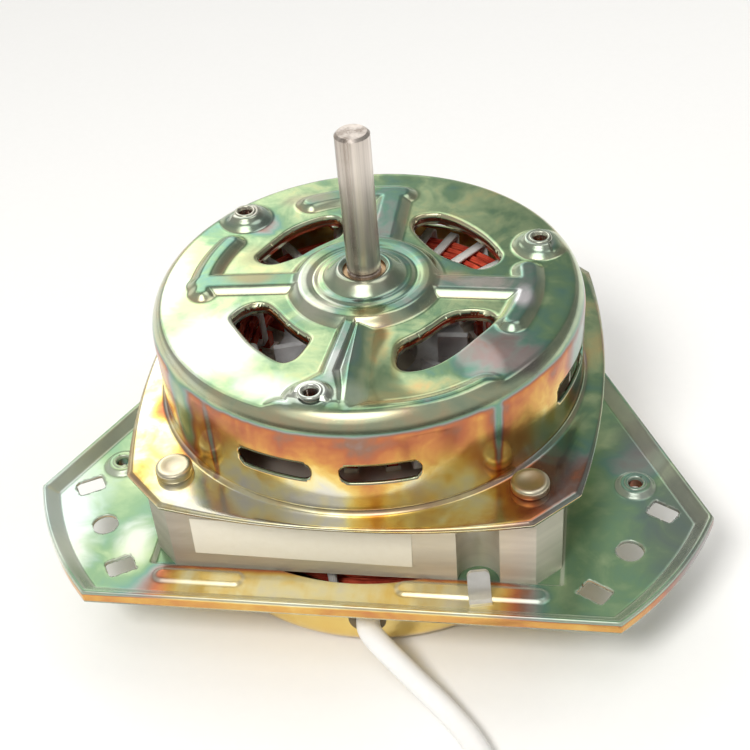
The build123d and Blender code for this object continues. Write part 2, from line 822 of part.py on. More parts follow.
with BuildPart() as thrust_pad:
    with BuildSketch(Plane.XY.offset(lower_inner)):
        Circle(shaft_r - slip_gap)
    extrude(amount=thrust_pad_thickness)
finish(thrust_pad, "thrust_pad")

# Through bolts, spring washers and nuts
nut_top = lower_flange_bottom - spring_washer_thickness
bolt_bottom = nut_top - nut_height - bolt_end
with BuildPart() as through_bolts:
    with BuildSketch(Plane.XY.offset(bolt_bottom)):
        with GridLocations(2 * bolt_place, 2 * bolt_place, 2, 2):
            Circle(bolt_shank_r)
    extrude(amount=flange_top - bolt_bottom)
    with BuildSketch(Plane.XY.offset(flange_top)):
        with GridLocations(2 * bolt_place, 2 * bolt_place, 2, 2):
            Circle(bolt_head_r)
    extrude(amount=bolt_head_height)
    top_edges = through_bolts.edges().filter_by(GeomType.CIRCLE).group_by(Axis.Z)[-1]
    fillet(top_edges, bolt_head_round)
finish(through_bolts, "through_bolts")

with BuildPart() as through_nuts:
    with BuildSketch(Plane.XY.offset(nut_top)):
        with GridLocations(2 * bolt_place, 2 * bolt_place, 2, 2):
            RegularPolygon(nut_flats / 2, 6, major_radius=False)
            Circle(bolt_shank_r + slip_gap, mode=Mode.SUBTRACT)
    extrude(amount=-nut_height)
finish(through_nuts, "through_nuts")

with BuildPart() as spring_washers:
    with BuildSketch(Plane.XY.offset(lower_flange_bottom)):
        with GridLocations(2 * bolt_place, 2 * bolt_place, 2, 2):
            Circle(spring_washer_r)
            Circle(bolt_shank_r + slip_gap, mode=Mode.SUBTRACT)
    extrude(amount=-spring_washer_thickness)
finish(spring_washers, "spring_washers")

# Bare label on the front of the stack
label_plane = Plane(
    origin=(label_middle_x, -stack_half, label_middle_z),
    x_dir=(1, 0, 0),
    z_dir=(0, -1, 0),
)
with BuildPart() as rating_label:
    with BuildSketch(label_plane):
        Rectangle(label_length, label_height, rotation=label_tilt)
    extrude(amount=label_thickness)
finish(rating_label, "rating_label")

# Earth tab: a strip bent up from a short foot on the plate, turned a little, in front of the channel
tab_plane = Plane(
    origin=(channel_x + tab_offset, -(stack_half + tab_setback), 0),
    x_dir=polar(1, tab_turn + quarter_turn),
    z_dir=polar(1, tab_turn),
)
with BuildPart() as earth_tab:
    with BuildSketch(tab_plane):
        with BuildLine():
            Polyline(
                (0, 0),
                (tab_foot, 0),
                (tab_foot + tab_lean, tab_height),
                (tab_foot + tab_lean - tab_thickness, tab_height),
                (tab_foot - tab_thickness, tab_thickness),
                (0, tab_thickness),
                (0, 0),
            )
        make_face()
    extrude(amount=tab_width / 2, both=True)
    end_corners = earth_tab.edges().group_by(Axis.Z)[-1].sort_by(SortBy.LENGTH)[:2]
    fillet(end_corners, tab_corner_r)
finish(earth_tab, "earth_tab")

# Cable grommet in the wall of the lower cover
with BuildPart() as cable_grommet:
    with BuildSketch(exit_plane.offset(overrun + cover_sheet + slip_gap)):
        Circle(grommet_lip_r)
        Circle(cable_d / 2 + slip_gap, mode=Mode.SUBTRACT)
    extrude(amount=grommet_lip)
    with BuildSketch(exit_plane.offset(overrun - slip_gap)):
        Circle(grommet_groove_r - slip_gap)
        Circle(cable_d / 2 + slip_gap, mode=Mode.SUBTRACT)
    extrude(amount=cover_sheet + 2 * slip_gap)
finish(cable_grommet, "cable_grommet")

# Route of the cable from its inner end to the start of the coil
inner_end_r = wall_inner_r - tie_width - 2 * tie_setback
exit_x, exit_y, exit_z = polar(inner_end_r, cable_exit_angle, -cable_exit_drop)
cable_floor = floor_level + cable_d / 2
coil_centre = Vector(coil_centre_x, coil_centre_y, cable_floor)
coil_start = coil_centre - Vector(coil_r, 0, 0)
cable_route = [
    (exit_x, exit_y, exit_z),
    (4.22, -67.1, exit_z),
    (6.15, -70.4, -15.3),
    (11.3, -74.0, -18.4),
    (19.6, -79.6, -22.7),
    (30.0, -87.8, cable_floor),
    (39.2, -98.8, cable_floor),
    (44.8, -112.4, cable_floor),
    (46.6, -129.0, cable_floor),
    (coil_start.X, coil_start.Y, cable_floor),
]


def bend_radii(points):
    """Radius of the arc at each corner: a share of the shorter run over the tangent of half the turn."""
    radii = []
    corners = [Vector(*point) for point in points]
    for before, here, after in zip(corners, corners[1:], corners[2:]):
        first = here - before
        second = after - here
        half_turn = radians(first.get_angle(second)) / 2
        shorter = min(first.length, second.length)
        radii.append(arc_share * shorter / tan(half_turn))
    return radii


cable_radii = bend_radii(cable_route)
print("cable bend radii", [round(radius, 1) for radius in cable_radii])
with BuildPart() as lead_cable:
    with BuildLine() as cable_path:
        FilletPolyline(*cable_route, radius=cable_radii)
    with BuildSketch(Plane(origin=cable_route[0], z_dir=cable_path.wire().tangent_at(0))):
        Circle(cable_d / 2)
    sweep()
finish(lead_cable, "lead_cable")
cable_length = cable_path.wire().length
print("cable stretch", round(cable_length, 1), "volume over section times length",
      round(lead_cable.part.volume / (pi * (cable_d / 2) ** 2 * cable_length), 4))

# Coil of the length that is put away: half turns that draw in, then a short straight end
coil_ends = []
for half in range(coil_halves + 1):
    hand = -1 if half % 2 == 0 else 1
    drawn_in = half * coil_step / 2
    drawn_in += coil_end_step if half == coil_halves else 0
    coil_ends.append(coil_centre + Vector(hand * (coil_r - drawn_in), 0, 0))
sheath_end = coil_ends[-1] + Vector(0, cable_d, 0)
coil_middles = []
with BuildPart() as cable_coil:
    with BuildLine() as coil_path:
        for here, there in zip(coil_ends, coil_ends[1:]):
            way = -1 if here.X < there.X else 1
            middle = (here + there) / 2 + Vector(0, way, 0) * ((there - here).length / 2)
            coil_middles.append(middle)
            ThreePointArc(here, middle, there)
        Line(coil_ends[-1], sheath_end)
    with BuildSketch(Plane(origin=coil_ends[0], z_dir=(0, -1, 0))):
        Circle(cable_d / 2)
    sweep()
finish(cable_coil, "cable_coil")
coil_length = coil_path.wire().length
coil_points = sampled(coil_ends, coil_middles, coil_samples) + [sheath_end]
print("coil", round(coil_length, 1), "least gap", round(least_gap(coil_points, coil_samples, cable_d), 3),
      "volume over section times length",
      round(cable_coil.part.volume / (pi * (cable_d / 2) ** 2 * coil_length), 4))

# The three tails fan out inside the coil from the end of the sheath; each ends in a tinned tip
tail_floor = floor_level + tail_d / 2 - cable_floor
tail_routes = {
    "live_tail": [(-2.1, 0.0, -1.1), (-3.8, 5.0, -1.7), (-7.5, 8.5, tail_floor), (-12.5, 9.5, tail_floor)],
    "start_tail": [(0.0, 0.0, 1.9), (-0.4, 5.5, 0.6), (-2.4, 10.5, -1.4), (-6.6, 14.0, tail_floor)],
    "common_tail": [(2.1, 0.0, -1.1), (2.8, 4.5, -1.7), (1.6, 9.5, tail_floor), (-1.5, 13.5, tail_floor)],
}
tip_starts = []
for name, route in tail_routes.items():
    points = [sheath_end + Vector(0, tail_gap, 0) + Vector(*place) for place in route]
    tail_radii = bend_radii(points)
    print(name, "bend radii", [round(radius, 1) for radius in tail_radii])
    with BuildPart() as tail:
        with BuildLine() as tail_path:
            FilletPolyline(*points, radius=tail_radii)
        with BuildSketch(Plane(origin=points[0], z_dir=tail_path.wire().tangent_at(0))):
            Circle(tail_d / 2)
        sweep()
    finish(tail, name)
    tip_starts.append((points[-1], (points[-1] - points[-2]).normalized()))
with BuildPart() as tail_tips:
    for start, heading in tip_starts:
        with BuildSketch(Plane(origin=start, z_dir=heading)):
            Circle(tip_d / 2)
        extrude(amount=tip_length)
finish(tail_tips, "tail_tips")

# Inside the cover: a tie that anchors the sheath, three leads that turn along the wall, and their splices
outward = Vector(*polar(1, cable_exit_angle))
along = Vector(*polar(1, cable_exit_angle + quarter_turn))
inner_end = Vector(*cable_route[0])
with BuildPart() as cable_tie:
    with BuildSketch(Plane(origin=inner_end + outward * tie_setback, z_dir=outward)):
        Circle(cable_d / 2 + tie_wall)
        Circle(cable_d / 2 + slip_gap, mode=Mode.SUBTRACT)
    extrude(amount=tie_width)
finish(cable_tie, "cable_tie")

lead_ends = []
with BuildPart() as inner_leads:
    for level, side in ((1, 1), (0, -1), (-1, 1)):
        start = inner_end + Vector(0, 0, level * inner_lead_spacing)
        corner = start - outward * (inner_lead_bend + overrun / 2)
        end = corner + along * (side * (inner_lead_bend + inner_lead_run))
        lead_ends.append((end, along * side))
        with BuildLine() as lead_path:
            FilletPolyline(start, corner, end, radius=inner_lead_bend)
        with BuildSketch(Plane(origin=start, z_dir=-outward)):
            Circle(inner_lead_d / 2)
        sweep(path=lead_path.wire())
finish(inner_leads, "inner_leads")

with BuildPart() as lead_splices:
    for end, heading in lead_ends:
        with BuildSketch(Plane(origin=end, z_dir=heading)):
            Circle(splice_d / 2)
        extrude(amount=splice_length)
finish(lead_splices, "lead_splices")
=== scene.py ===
import json
from math import acos, atan2, cos, degrees, pi, radians, sin

import bmesh
import bpy
import numpy as np
from mathutils import Matrix, Vector


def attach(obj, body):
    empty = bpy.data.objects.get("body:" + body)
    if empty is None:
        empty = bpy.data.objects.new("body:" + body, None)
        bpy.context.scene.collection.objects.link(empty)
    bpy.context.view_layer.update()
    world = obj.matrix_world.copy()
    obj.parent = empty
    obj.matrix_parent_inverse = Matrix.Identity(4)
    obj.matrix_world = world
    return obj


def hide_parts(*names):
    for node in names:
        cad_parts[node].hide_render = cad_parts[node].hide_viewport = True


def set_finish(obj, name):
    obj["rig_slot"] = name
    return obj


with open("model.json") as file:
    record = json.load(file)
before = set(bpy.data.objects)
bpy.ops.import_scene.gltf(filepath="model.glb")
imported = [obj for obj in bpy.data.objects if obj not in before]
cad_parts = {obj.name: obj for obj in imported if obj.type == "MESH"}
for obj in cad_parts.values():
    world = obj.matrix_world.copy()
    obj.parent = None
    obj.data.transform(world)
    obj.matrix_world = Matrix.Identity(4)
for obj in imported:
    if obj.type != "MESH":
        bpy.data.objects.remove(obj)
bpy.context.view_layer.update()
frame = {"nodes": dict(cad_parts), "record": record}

nodes = frame["nodes"]
MM = 0.001

# Sizes that the covers and the plate share with the solids, in millimetres
STACK_HALF = 60.0
WALL_R = 64.0
SHOULDER_R = 8.0
PANEL_TOP = 62.0
POCKET_TOP = 60.0
HUB_R = 23.0
HUB_TOP = 62.8
COLLAR_TOP = 66.0
FLANGE_TOP = 28.5
FLANGE_FILLET = 2.0
FLOOR_LEVEL = -29.5
BOLT_PLACE = 50.8
LOBE_R = 108.4
FRONT_EDGE = 76.4
SIDE_EDGE = 78.2
SIDE_NORMAL = 26.0


def arithmetic(operation, turned_round=False):
    """One of Python's signs for a Value, with the Value before the other term or after it."""
    def result(value, other):
        terms = (other, value) if turned_round else (value, other)
        return value.shader.maths(operation, *terms)
    return result


class Value:
    """A number, colour or direction that varies over a surface, with its sums written as Python."""

    def __init__(self, shader, socket):
        self.shader = shader
        self.socket = socket

    __add__, __radd__ = arithmetic("ADD"), arithmetic("ADD", True)
    __sub__, __rsub__ = arithmetic("SUBTRACT"), arithmetic("SUBTRACT", True)
    __mul__, __rmul__ = arithmetic("MULTIPLY"), arithmetic("MULTIPLY", True)
    __truediv__ = arithmetic("DIVIDE")

    def smooth(self, low, high):
        """0 below low, 1 above high, and a soft step between."""
        return self.shader.node("ShaderNodeMapRange", {"interpolation_type": "SMOOTHSTEP"},
                                {"Value": self, "From Min": low, "From Max": high})

    def clamped(self):
        return self.shader.node("ShaderNodeClamp", {}, {"Value": self})


class Nodes:
    """A node tree whose nodes are made by calls."""

    def __init__(self, owner):
        owner.use_nodes = True
        self.tree = owner.node_tree
        self.tree.nodes.clear()

    def node(self, kind, settings, sockets, out=0):
        """Make a node: its settings first, then its sockets, and give back one of its outputs."""
        made = self.tree.nodes.new(kind)
        for name, setting in settings.items():
            if name == "stops":
                ramp = made.color_ramp
                while len(ramp.elements) < len(setting):
                    ramp.elements.new(0.5)
                for element, (place, colour) in zip(ramp.elements, setting):
                    element.position = place
                    element.color = (*colour, 1.0)
            else:
                setattr(made, name, setting)
        for name, value in sockets.items():
            socket = made.inputs[name]
            if isinstance(value, Value):
                self.tree.links.new(value.socket, socket)
            elif isinstance(value, tuple) and len(value) == 3 and socket.type == "RGBA":
                socket.default_value = (*value, 1.0)
            else:
                socket.default_value = value
        return Value(self, made.outputs[out]) if made.outputs else made

    def maths(self, operation, *terms):
        return self.node("ShaderNodeMath", {"operation": operation}, dict(enumerate(terms)))

    def mix(self, factor, first, second):
        """Colour between two."""
        return self.node("ShaderNodeMix", {"data_type": "RGBA"}, {0: factor, 6: first, 7: second}, 2)


class Shader(Nodes):
    """A material, with the textures and the surface that the finishes use."""

    def __init__(self, name):
        self.material = bpy.data.materials.new(name)
        super().__init__(self.material)
        self.place = self.node("ShaderNodeTexCoord", {}, {}, "Object")

    def along(self, axis):
        """One coordinate of the point, in millimetres."""
        parts = self.node("ShaderNodeSeparateXYZ", {}, {"Vector": self.place}, axis)
        return parts * 1000.0

    def noise(self, scale, detail=2.0, roughness=0.5, distortion=0.0, where=None):
        return self.node("ShaderNodeTexNoise", {}, {
            "Vector": where or self.place, "Scale": scale, "Detail": detail,
            "Roughness": roughness, "Distortion": distortion,
        })

    def stretched(self, x, y, z):
        """The point with each axis multiplied, for grain that runs one way."""
        return self.node("ShaderNodeMapping", {}, {"Vector": self.place, "Scale": (x, y, z)})

    def blob(self, centre, reach):
        """Distance from a point in millimetres, as a share of the reach along each axis."""
        away = self.node("ShaderNodeVectorMath", {"operation": "SUBTRACT"},
                         {0: self.place, 1: tuple(c * MM for c in centre)})
        share = self.node("ShaderNodeVectorMath", {"operation": "MULTIPLY"},
                          {0: away, 1: tuple(1.0 / (r * MM) for r in reach)})
        return self.node("ShaderNodeVectorMath", {"operation": "LENGTH"}, {0: share}, "Value")

    def ramp(self, factor, stops):
        return self.node("ShaderNodeValToRGB", {"stops": stops}, {"Fac": factor})

    def bump(self, height, strength, distance, after=None):
        sockets = {"Height": height, "Strength": strength, "Distance": distance}
        if after:
            sockets["Normal"] = after
        return self.node("ShaderNodeBump", {}, sockets)

    def finish(self, **sockets):
        """Set the surface shader, its varying sockets by links and its plain ones by value."""
        named = {name.replace("_", " "): value for name, value in sockets.items()}
        surface = self.node("ShaderNodeBsdfPrincipled", {}, named)
        self.node("ShaderNodeOutputMaterial", {}, {"Surface": surface})
        return self.material


# Colours of the passivate film, from thin to thick, and a pale colour mixed onto pressed slopes as a
# painted highlight
FILM = (
    (0.00, (0.74, 0.72, 0.64)),
    (0.08, (0.88, 0.80, 0.46)),
    (0.15, (0.84, 0.62, 0.20)),
    (0.22, (0.70, 0.40, 0.10)),
    (0.29, (0.58, 0.24, 0.08)),
    (0.36, (0.46, 0.15, 0.07)),
    (0.43, (0.30, 0.16, 0.11)),
    (0.49, (0.30, 0.24, 0.22)),
    (0.55, (0.26, 0.32, 0.28)),
    (0.61, (0.16, 0.31, 0.24)),
    (0.68, (0.22, 0.36, 0.20)),
    (0.75, (0.42, 0.54, 0.30)),
    (0.82, (0.58, 0.59, 0.30)),
    (0.89, (0.76, 0.55, 0.25)),
    (0.95, (0.62, 0.42, 0.36)),
    (1.00, (0.52, 0.46, 0.48)),
)
EDGE_HIGHLIGHT_PAINT = (0.74, 0.78, 0.68)


def zinc_finish(name, film, spots, tints, edge_shift, swing, edge_highlight_paint, roughness, metallic):
    """Passivate on zinc: a film whose thickness drifts and shifts over pressed edges, with a painted
    highlight in a pale colour on the slopes.
    """
    shader = Shader(name)
    drift = shader.noise(26.0, 3.0, 0.55, 0.8) - 0.5
    middling = shader.noise(75.0, 3.0, 0.55, 1.2) - 0.5
    fine = shader.noise(220.0, 3.0, 0.6, 0.3) - 0.5
    normal = shader.node("ShaderNodeTexCoord", {}, {}, "Normal")
    upright = shader.maths("ABSOLUTE", shader.node("ShaderNodeSeparateXYZ", {}, {"Vector": normal}, "Z"))
    slope = (1.0 - upright).smooth(0.01, 0.12) * (1.0 - (1.0 - upright).smooth(0.45, 0.8))
    if callable(film):
        film = film(shader, upright)
    for centre, reach, value, strength in spots:
        near = shader.blob(centre, reach) + drift * 1.3
        film = film + (value - film) * ((1.0 - near).smooth(0.0, 0.8) * strength)
    film = film + slope * edge_shift + drift * swing + middling * (swing * 0.7) + fine * (swing * 0.25)
    # On slopes the film colour is mixed towards a pale colour: a painted highlight along pressed edges
    colour = shader.mix(slope * edge_highlight_paint, shader.ramp(film, FILM), EDGE_HIGHLIGHT_PAINT)
    # Patches of another tone, some of them painted highlights and painted reflections
    for centre, reach, tint, strength in tints:
        near = shader.blob(centre, reach) + middling * 0.9
        colour = shader.mix((1.0 - near).smooth(0.0, 0.8) * strength, colour, tint)
    grain = shader.noise(700.0, 2.0, 0.6)
    worn = shader.noise(46.0, 4.0, 0.6)
    rough = roughness + (worn - 0.5) * 0.12 + (grain - 0.5) * 0.04
    waves = shader.bump(shader.noise(24.0, 1.0), 0.10, 0.004)
    relief = shader.bump(shader.noise(60.0, 2.0), 0.05, 0.002, shader.bump(grain, 0.02, 0.0002, waves))
    return shader.finish(Base_Color=colour, Metallic=metallic, Roughness=rough, Normal=relief)


def smooth_step(low, high, value):
    share = np.clip((value - low) / (high - low), 0.0, 1.0)
    return share * share * (3.0 - 2.0 * share)


def soft_max(first, second, width):
    """The larger of two fields, blended where they are close."""
    share = np.clip(0.5 + 0.5 * (first - second) / width, 0.0, 1.0)
    return second * (1.0 - share) + first * share + width * share * (1.0 - share)


def soft_min(first, second, width):
    return -soft_max(-first, -second, width)


def polar(radius, angle):
    """Places at a radius and an angle in degrees."""
    return radius * np.cos(np.radians(angle)), radius * np.sin(np.radians(angle))


def segment_distance(x, y, ax, ay, bx, by):
    """Distance of points from a line between two places."""
    dx, dy = bx - ax, by - ay
    share = np.clip(((x - ax) * dx + (y - ay) * dy) / (dx * dx + dy * dy), 0.0, 1.0)
    return np.hypot(x - ax - share * dx, y - ay - share * dy)


def outline_distance(x, y, outline):
    """Signed distance from a closed outline, negative inside it."""
    least = np.full(x.shape, 1e9)
    inside = np.zeros(x.shape, bool)
    for (ax, ay), (bx, by) in zip(outline, outline[1:] + outline[:1]):
        least = np.minimum(least, segment_distance(x, y, ax, ay, bx, by))
        if ay != by:
            crosses = (ay > y) != (by > y)
            inside ^= crosses & (x < (bx - ax) * (y - ay) / (by - ay) + ax)
    return np.where(inside, -least, least)


def rounded(outline, times):
    """Cut an outline's corners the same way several times."""
    for _ in range(times):
        cut = []
        for (ax, ay), (bx, by) in zip(outline, outline[1:] + outline[:1]):
            cut.append((0.75 * ax + 0.25 * bx, 0.75 * ay + 0.25 * by))
            cut.append((0.25 * ax + 0.75 * bx, 0.25 * ay + 0.75 * by))
        outline = cut
    return outline


def arc_distance(radius, angle, arc_r, first, last):
    """Distance from an arc about the axis, between two angles in degrees."""
    middle, half = (first + last) / 2, (last - first) / 2
    turn = (angle - middle + 180.0) % 360.0 - 180.0
    held = np.clip(turn, -half, half)
    x, y = polar(radius, angle)
    arc_x, arc_y = polar(arc_r, middle + held)
    return np.hypot(x - arc_x, y - arc_y)


def settle_on(field, first, second, reach, slope_step=0.05):
    """Move points that lie within reach of a field's zero line onto it."""
    for _ in range(2):
        here = field(first, second)
        slope_a = (field(first + slope_step, second) - here) / slope_step
        slope_b = (field(first, second + slope_step) - here) / slope_step
        steep = np.maximum(slope_a ** 2 + slope_b ** 2, 0.04)
        close = np.abs(here) < reach
        first = np.where(close, first - here * slope_a / steep, first)
        second = np.where(close, second - here * slope_b / steep, second)
    return first, second


def ring_places(radius, angles):
    """A place at a radius from the axis for each angle in degrees."""
    return [(radius * cos(radians(a)), radius * sin(radians(a))) for a in angles]


def placed(name, data):
    """Put new data into the scene as an object."""
    piece = bpy.data.objects.new(name, data)
    bpy.context.scene.collection.objects.link(piece)
    return piece


def mesh_piece(name, points, faces):
    """A mesh as an object, smooth on its four-sided faces and flat on its caps."""
    mesh = bpy.data.meshes.new(name)
    mesh.from_pydata(points, [], faces)
    mesh.update()
    mesh.polygons.foreach_set("use_smooth", [len(f.vertices) == 4 for f in mesh.polygons])
    return placed(name, mesh)


def grid_piece(name, x, y, z, keep):
    """A mesh from closed rows of points in millimetres, without the faces at points that aren't kept."""
    rows, columns = x.shape
    points = np.stack([x, y, z], -1).reshape(-1, 3) * MM
    number = np.arange(rows * columns).reshape(rows, columns)
    after = np.roll(number, -1, axis=1)
    quads = np.stack([number[:-1], number[1:], after[1:], after[:-1]], -1).reshape(-1, 4)
    whole = keep.reshape(-1)[quads].all(axis=1)
    quads = quads[whole]
    used = np.unique(quads)
    renumber = np.full(len(points), -1)
    renumber[used] = np.arange(len(used))
    return mesh_piece(name, points[used].tolist(), renumber[quads].tolist())


def lathe(name, outline, turns, places=((0, 0),), capped=True):
    """Turned solids: an outline of radius and height, spun at each place, in millimetres."""
    points, faces = [], []
    for px, py in places:
        first = len(points)
        for radius, height in outline:
            for step in range(turns):
                a = 2 * pi * step / turns
                points.append(((px + radius * cos(a)) * MM, (py + radius * sin(a)) * MM, height * MM))
        for row in range(len(outline) - 1):
            for step in range(turns):
                after = (step + 1) % turns
                faces.append([first + row * turns + step, first + row * turns + after,
                              first + (row + 1) * turns + after, first + (row + 1) * turns + step])
        if capped:
            faces.append([first + step for step in reversed(range(turns))])
            faces.append([first + (len(outline) - 1) * turns + step for step in range(turns)])
    return mesh_piece(name, points, faces)


def thicken(piece, thickness):
    """Give a sheet its thickness, inward from its outer face."""
    solid = piece.modifiers.new("thickness", "SOLIDIFY")
    solid.thickness = thickness * MM
    solid.offset = -1.0
    solid.use_even_offset = False
    return piece


def carried(piece, body, slot, *stood_for):
    """Put a piece on its body, name its slot and hide the solids that it stands for."""
    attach(piece, body)
    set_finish(piece, slot)
    if stood_for:
        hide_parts(*stood_for)
    return piece


def dressed(piece, material):
    piece.data.materials.clear()
    piece.data.materials.append(material)
    return piece


# Camera: the fitted place, roll and lens of the photograph
CAMERA_AZIMUTH = 0.2227
CAMERA_ELEVATION = 0.718
CAMERA_ROLL = -0.1109
CAMERA_PLACE = Vector((63.6, -324.0, 293.3)) * MM
FOCAL_PIXELS = 1367.15
FRAME_PIXELS = 750.0
CENTRE_PIXEL = (348.86, 426.5)
SENSOR_MM = 36.0
back = Vector((sin(CAMERA_AZIMUTH) * cos(CAMERA_ELEVATION),
               -cos(CAMERA_AZIMUTH) * cos(CAMERA_ELEVATION),
               sin(CAMERA_ELEVATION)))
level = (-back).cross(Vector((0, 0, 1))).normalized()
upward = level.cross(-back)
right = level * cos(CAMERA_ROLL) + upward * sin(CAMERA_ROLL)
up = upward * cos(CAMERA_ROLL) - level * sin(CAMERA_ROLL)
lens = bpy.data.cameras.new("camera")
lens.sensor_width = SENSOR_MM
lens.lens = FOCAL_PIXELS / FRAME_PIXELS * SENSOR_MM
lens.shift_x = (FRAME_PIXELS / 2 - CENTRE_PIXEL[0]) / FRAME_PIXELS
lens.shift_y = (CENTRE_PIXEL[1] - FRAME_PIXELS / 2) / FRAME_PIXELS
lens.clip_start = 0.01
camera = placed("camera", lens)
camera.matrix_world = Matrix((
    (right.x, up.x, back.x, CAMERA_PLACE.x),
    (right.y, up.y, back.y, CAMERA_PLACE.y),
    (right.z, up.z, back.z, CAMERA_PLACE.z),
    (0, 0, 0, 1),
))
bpy.context.scene.camera = camera

# Cable: one line from inside the lower cover, over the floor and round the coil
CABLE_D = 7.0
CABLE_Z = FLOOR_LEVEL + CABLE_D / 2
EXIT_DROP = -14.5
cable_route = [
    (3.75, -59.6, EXIT_DROP), (4.22, -67.1, EXIT_DROP), (6.15, -70.4, -15.3), (11.3, -74.0, -18.4),
    (19.6, -79.6, -22.7), (30.0, -87.8, CABLE_Z), (39.2, -98.8, CABLE_Z), (44.8, -112.4, CABLE_Z),
    (46.6, -129.0, CABLE_Z),
]
COIL_CENTRE = (86.0, -147.0)
COIL_R = 39.0
COIL_STEP = 8.0
COIL_END_STEP = 6.0
COIL_HALVES = 3
COIL_POINTS = 7
coil_ends = [COIL_CENTRE[0] + (-1) ** (half + 1) * (COIL_R - half * COIL_STEP / 2
             - (COIL_END_STEP if half == COIL_HALVES else 0)) for half in range(COIL_HALVES + 1)]
for half in range(COIL_HALVES):
    start, end = coil_ends[half], coil_ends[half + 1]
    middle, radius = (start + end) / 2, (start - end) / 2
    spread = abs(radius) / cos(pi / COIL_POINTS / 2) if half else abs(radius)
    for step in range(COIL_POINTS):
        turn = pi * (step + (0.5 if half or step else 0.0)) / COIL_POINTS
        way = -1.0 if half % 2 == 0 else 1.0
        cable_route.append((middle + radius / abs(radius) * spread * cos(turn),
                            COIL_CENTRE[1] + way * spread * sin(turn), CABLE_Z))
sheath_end = (coil_ends[-1], COIL_CENTRE[1] + CABLE_D)
cable_route.append((coil_ends[-1], COIL_CENTRE[1], CABLE_Z))
cable_route.append((sheath_end[0], sheath_end[1], CABLE_Z))


def round_wire(name, routes, diameter, sides=4):
    """Round wire in millimetres, one line for each route; its points' radius keeps the box true."""
    line = bpy.data.curves.new(name, "CURVE")
    line.dimensions = "3D"
    line.bevel_depth = 1.0
    line.bevel_resolution = sides
    line.use_fill_caps = True
    for route in routes:
        spline = line.splines.new("NURBS")
        spline.points.add(len(route) - 1)
        for point, place in zip(spline.points, route):
            point.co = (*(c * MM for c in place), 1.0)
            point.radius = diameter / 2 * MM
        spline.order_u = 3
        spline.use_endpoint_u = True
        spline.resolution_u = 8
        spline.use_smooth = True
    return placed(name, line)


cable = round_wire("cable_sheath_run", [cable_route], CABLE_D, 6)
carried(cable, "housing", "cable_sheath", "lead_cable", "cable_coil")

TAIL_D = 2.4
TAIL_GAP = 0.5
tail_z = FLOOR_LEVEL + TAIL_D / 2 - CABLE_Z
tail_routes = {
    "live": [(-2.1, 0, -1.1), (-3.8, 5, -1.7), (-7.5, 8.5, tail_z), (-12.5, 9.5, tail_z)],
    "start": [(0, 0, 1.9), (-0.4, 5.5, 0.6), (-2.4, 10.5, -1.4), (-6.6, 14, tail_z)],
    "common": [(2.1, 0, -1.1), (2.8, 4.5, -1.7), (1.6, 9.5, tail_z), (-1.5, 13.5, tail_z)],
}
tails = []
for core, route in tail_routes.items():
    points = [(sheath_end[0] + x, sheath_end[1] + TAIL_GAP + y, CABLE_Z + z) for x, y, z in route]
    points[0] = (points[0][0], points[0][1] - TAIL_GAP, points[0][2])
    tail = round_wire(f"{core}_core_run", [points], TAIL_D)
    tails.append(carried(tail, "housing", f"{core}_core", f"{core}_tail"))

# Floor, lights and the bright surroundings of a plain studio
FLOOR_SIZE = 6.0
floor = mesh_piece("floor", [(x * FLOOR_SIZE, y * FLOOR_SIZE, FLOOR_LEVEL * MM)
                             for x, y in ((-1, -1), (1, -1), (1, 1), (-1, 1))], [(0, 1, 2, 3)])
paper = Shader("floor_paper")
dressed(floor, paper.finish(
    Base_Color=paper.mix(paper.noise(300.0, 3.0), (0.88, 0.88, 0.87), (0.90, 0.90, 0.89)),
    Roughness=0.8))


def lamp(name, place, target, width, height, power, tint=(1.0, 1.0, 1.0)):
    """A soft rectangular lamp aimed at a point, in metres."""
    light = bpy.data.lights.new(name, "AREA")
    light.shape = "RECTANGLE"
    light.size, light.size_y = width, height
    light.energy = power
    light.color = tint
    holder = placed(name, light)
    holder.location = place
    holder.visible_glossy = False
    holder.rotation_mode = "QUATERNION"
    holder.rotation_quaternion = (Vector(target) - Vector(place)).to_track_quat("-Z", "Y")


lamp("key_lamp", (-0.25, -0.75, 0.95), (0, 0, 0.03), 0.3, 0.3, 10.0, (1.0, 0.98, 0.95))
lamp("fill_lamp", (0.9, 0.3, 0.8), (0, 0, 0.02), 0.7, 0.5, 3.0)

STUDIO_DIM = 0.36
# Soft boxes: azimuth, elevation, cosines of the angles where the soft edge starts and ends, strength
SOFT_BOXES = (
    (30.0, 44.0, 0.934, 0.961, 1.1),
    (26.0, 36.0, 0.984, 0.997, 1.2),
    (17.0, 20.0, 0.972, 0.992, 1.0),
    (165.0, 62.0, 0.9, 0.97, 0.6),
    (165.0, 73.0, 0.955, 0.985, 1.9),
    (-40.0, 66.0, 0.955, 0.985, 1.0),
)
world = bpy.data.worlds.new("studio")
bpy.context.scene.world = world
studio = Nodes(world)
direction = studio.node("ShaderNodeTexCoord", {}, {}, "Generated")


def facing(azimuth, elevation):
    """How nearly the direction looked in points one way: 1 straight at it, 0 square to it."""
    a, e = radians(azimuth), radians(elevation)
    way = (-sin(a) * cos(e), cos(a) * cos(e), sin(e))
    return studio.node("ShaderNodeVectorMath", {"operation": "DOT_PRODUCT"},
                       {0: direction, 1: way}, "Value")


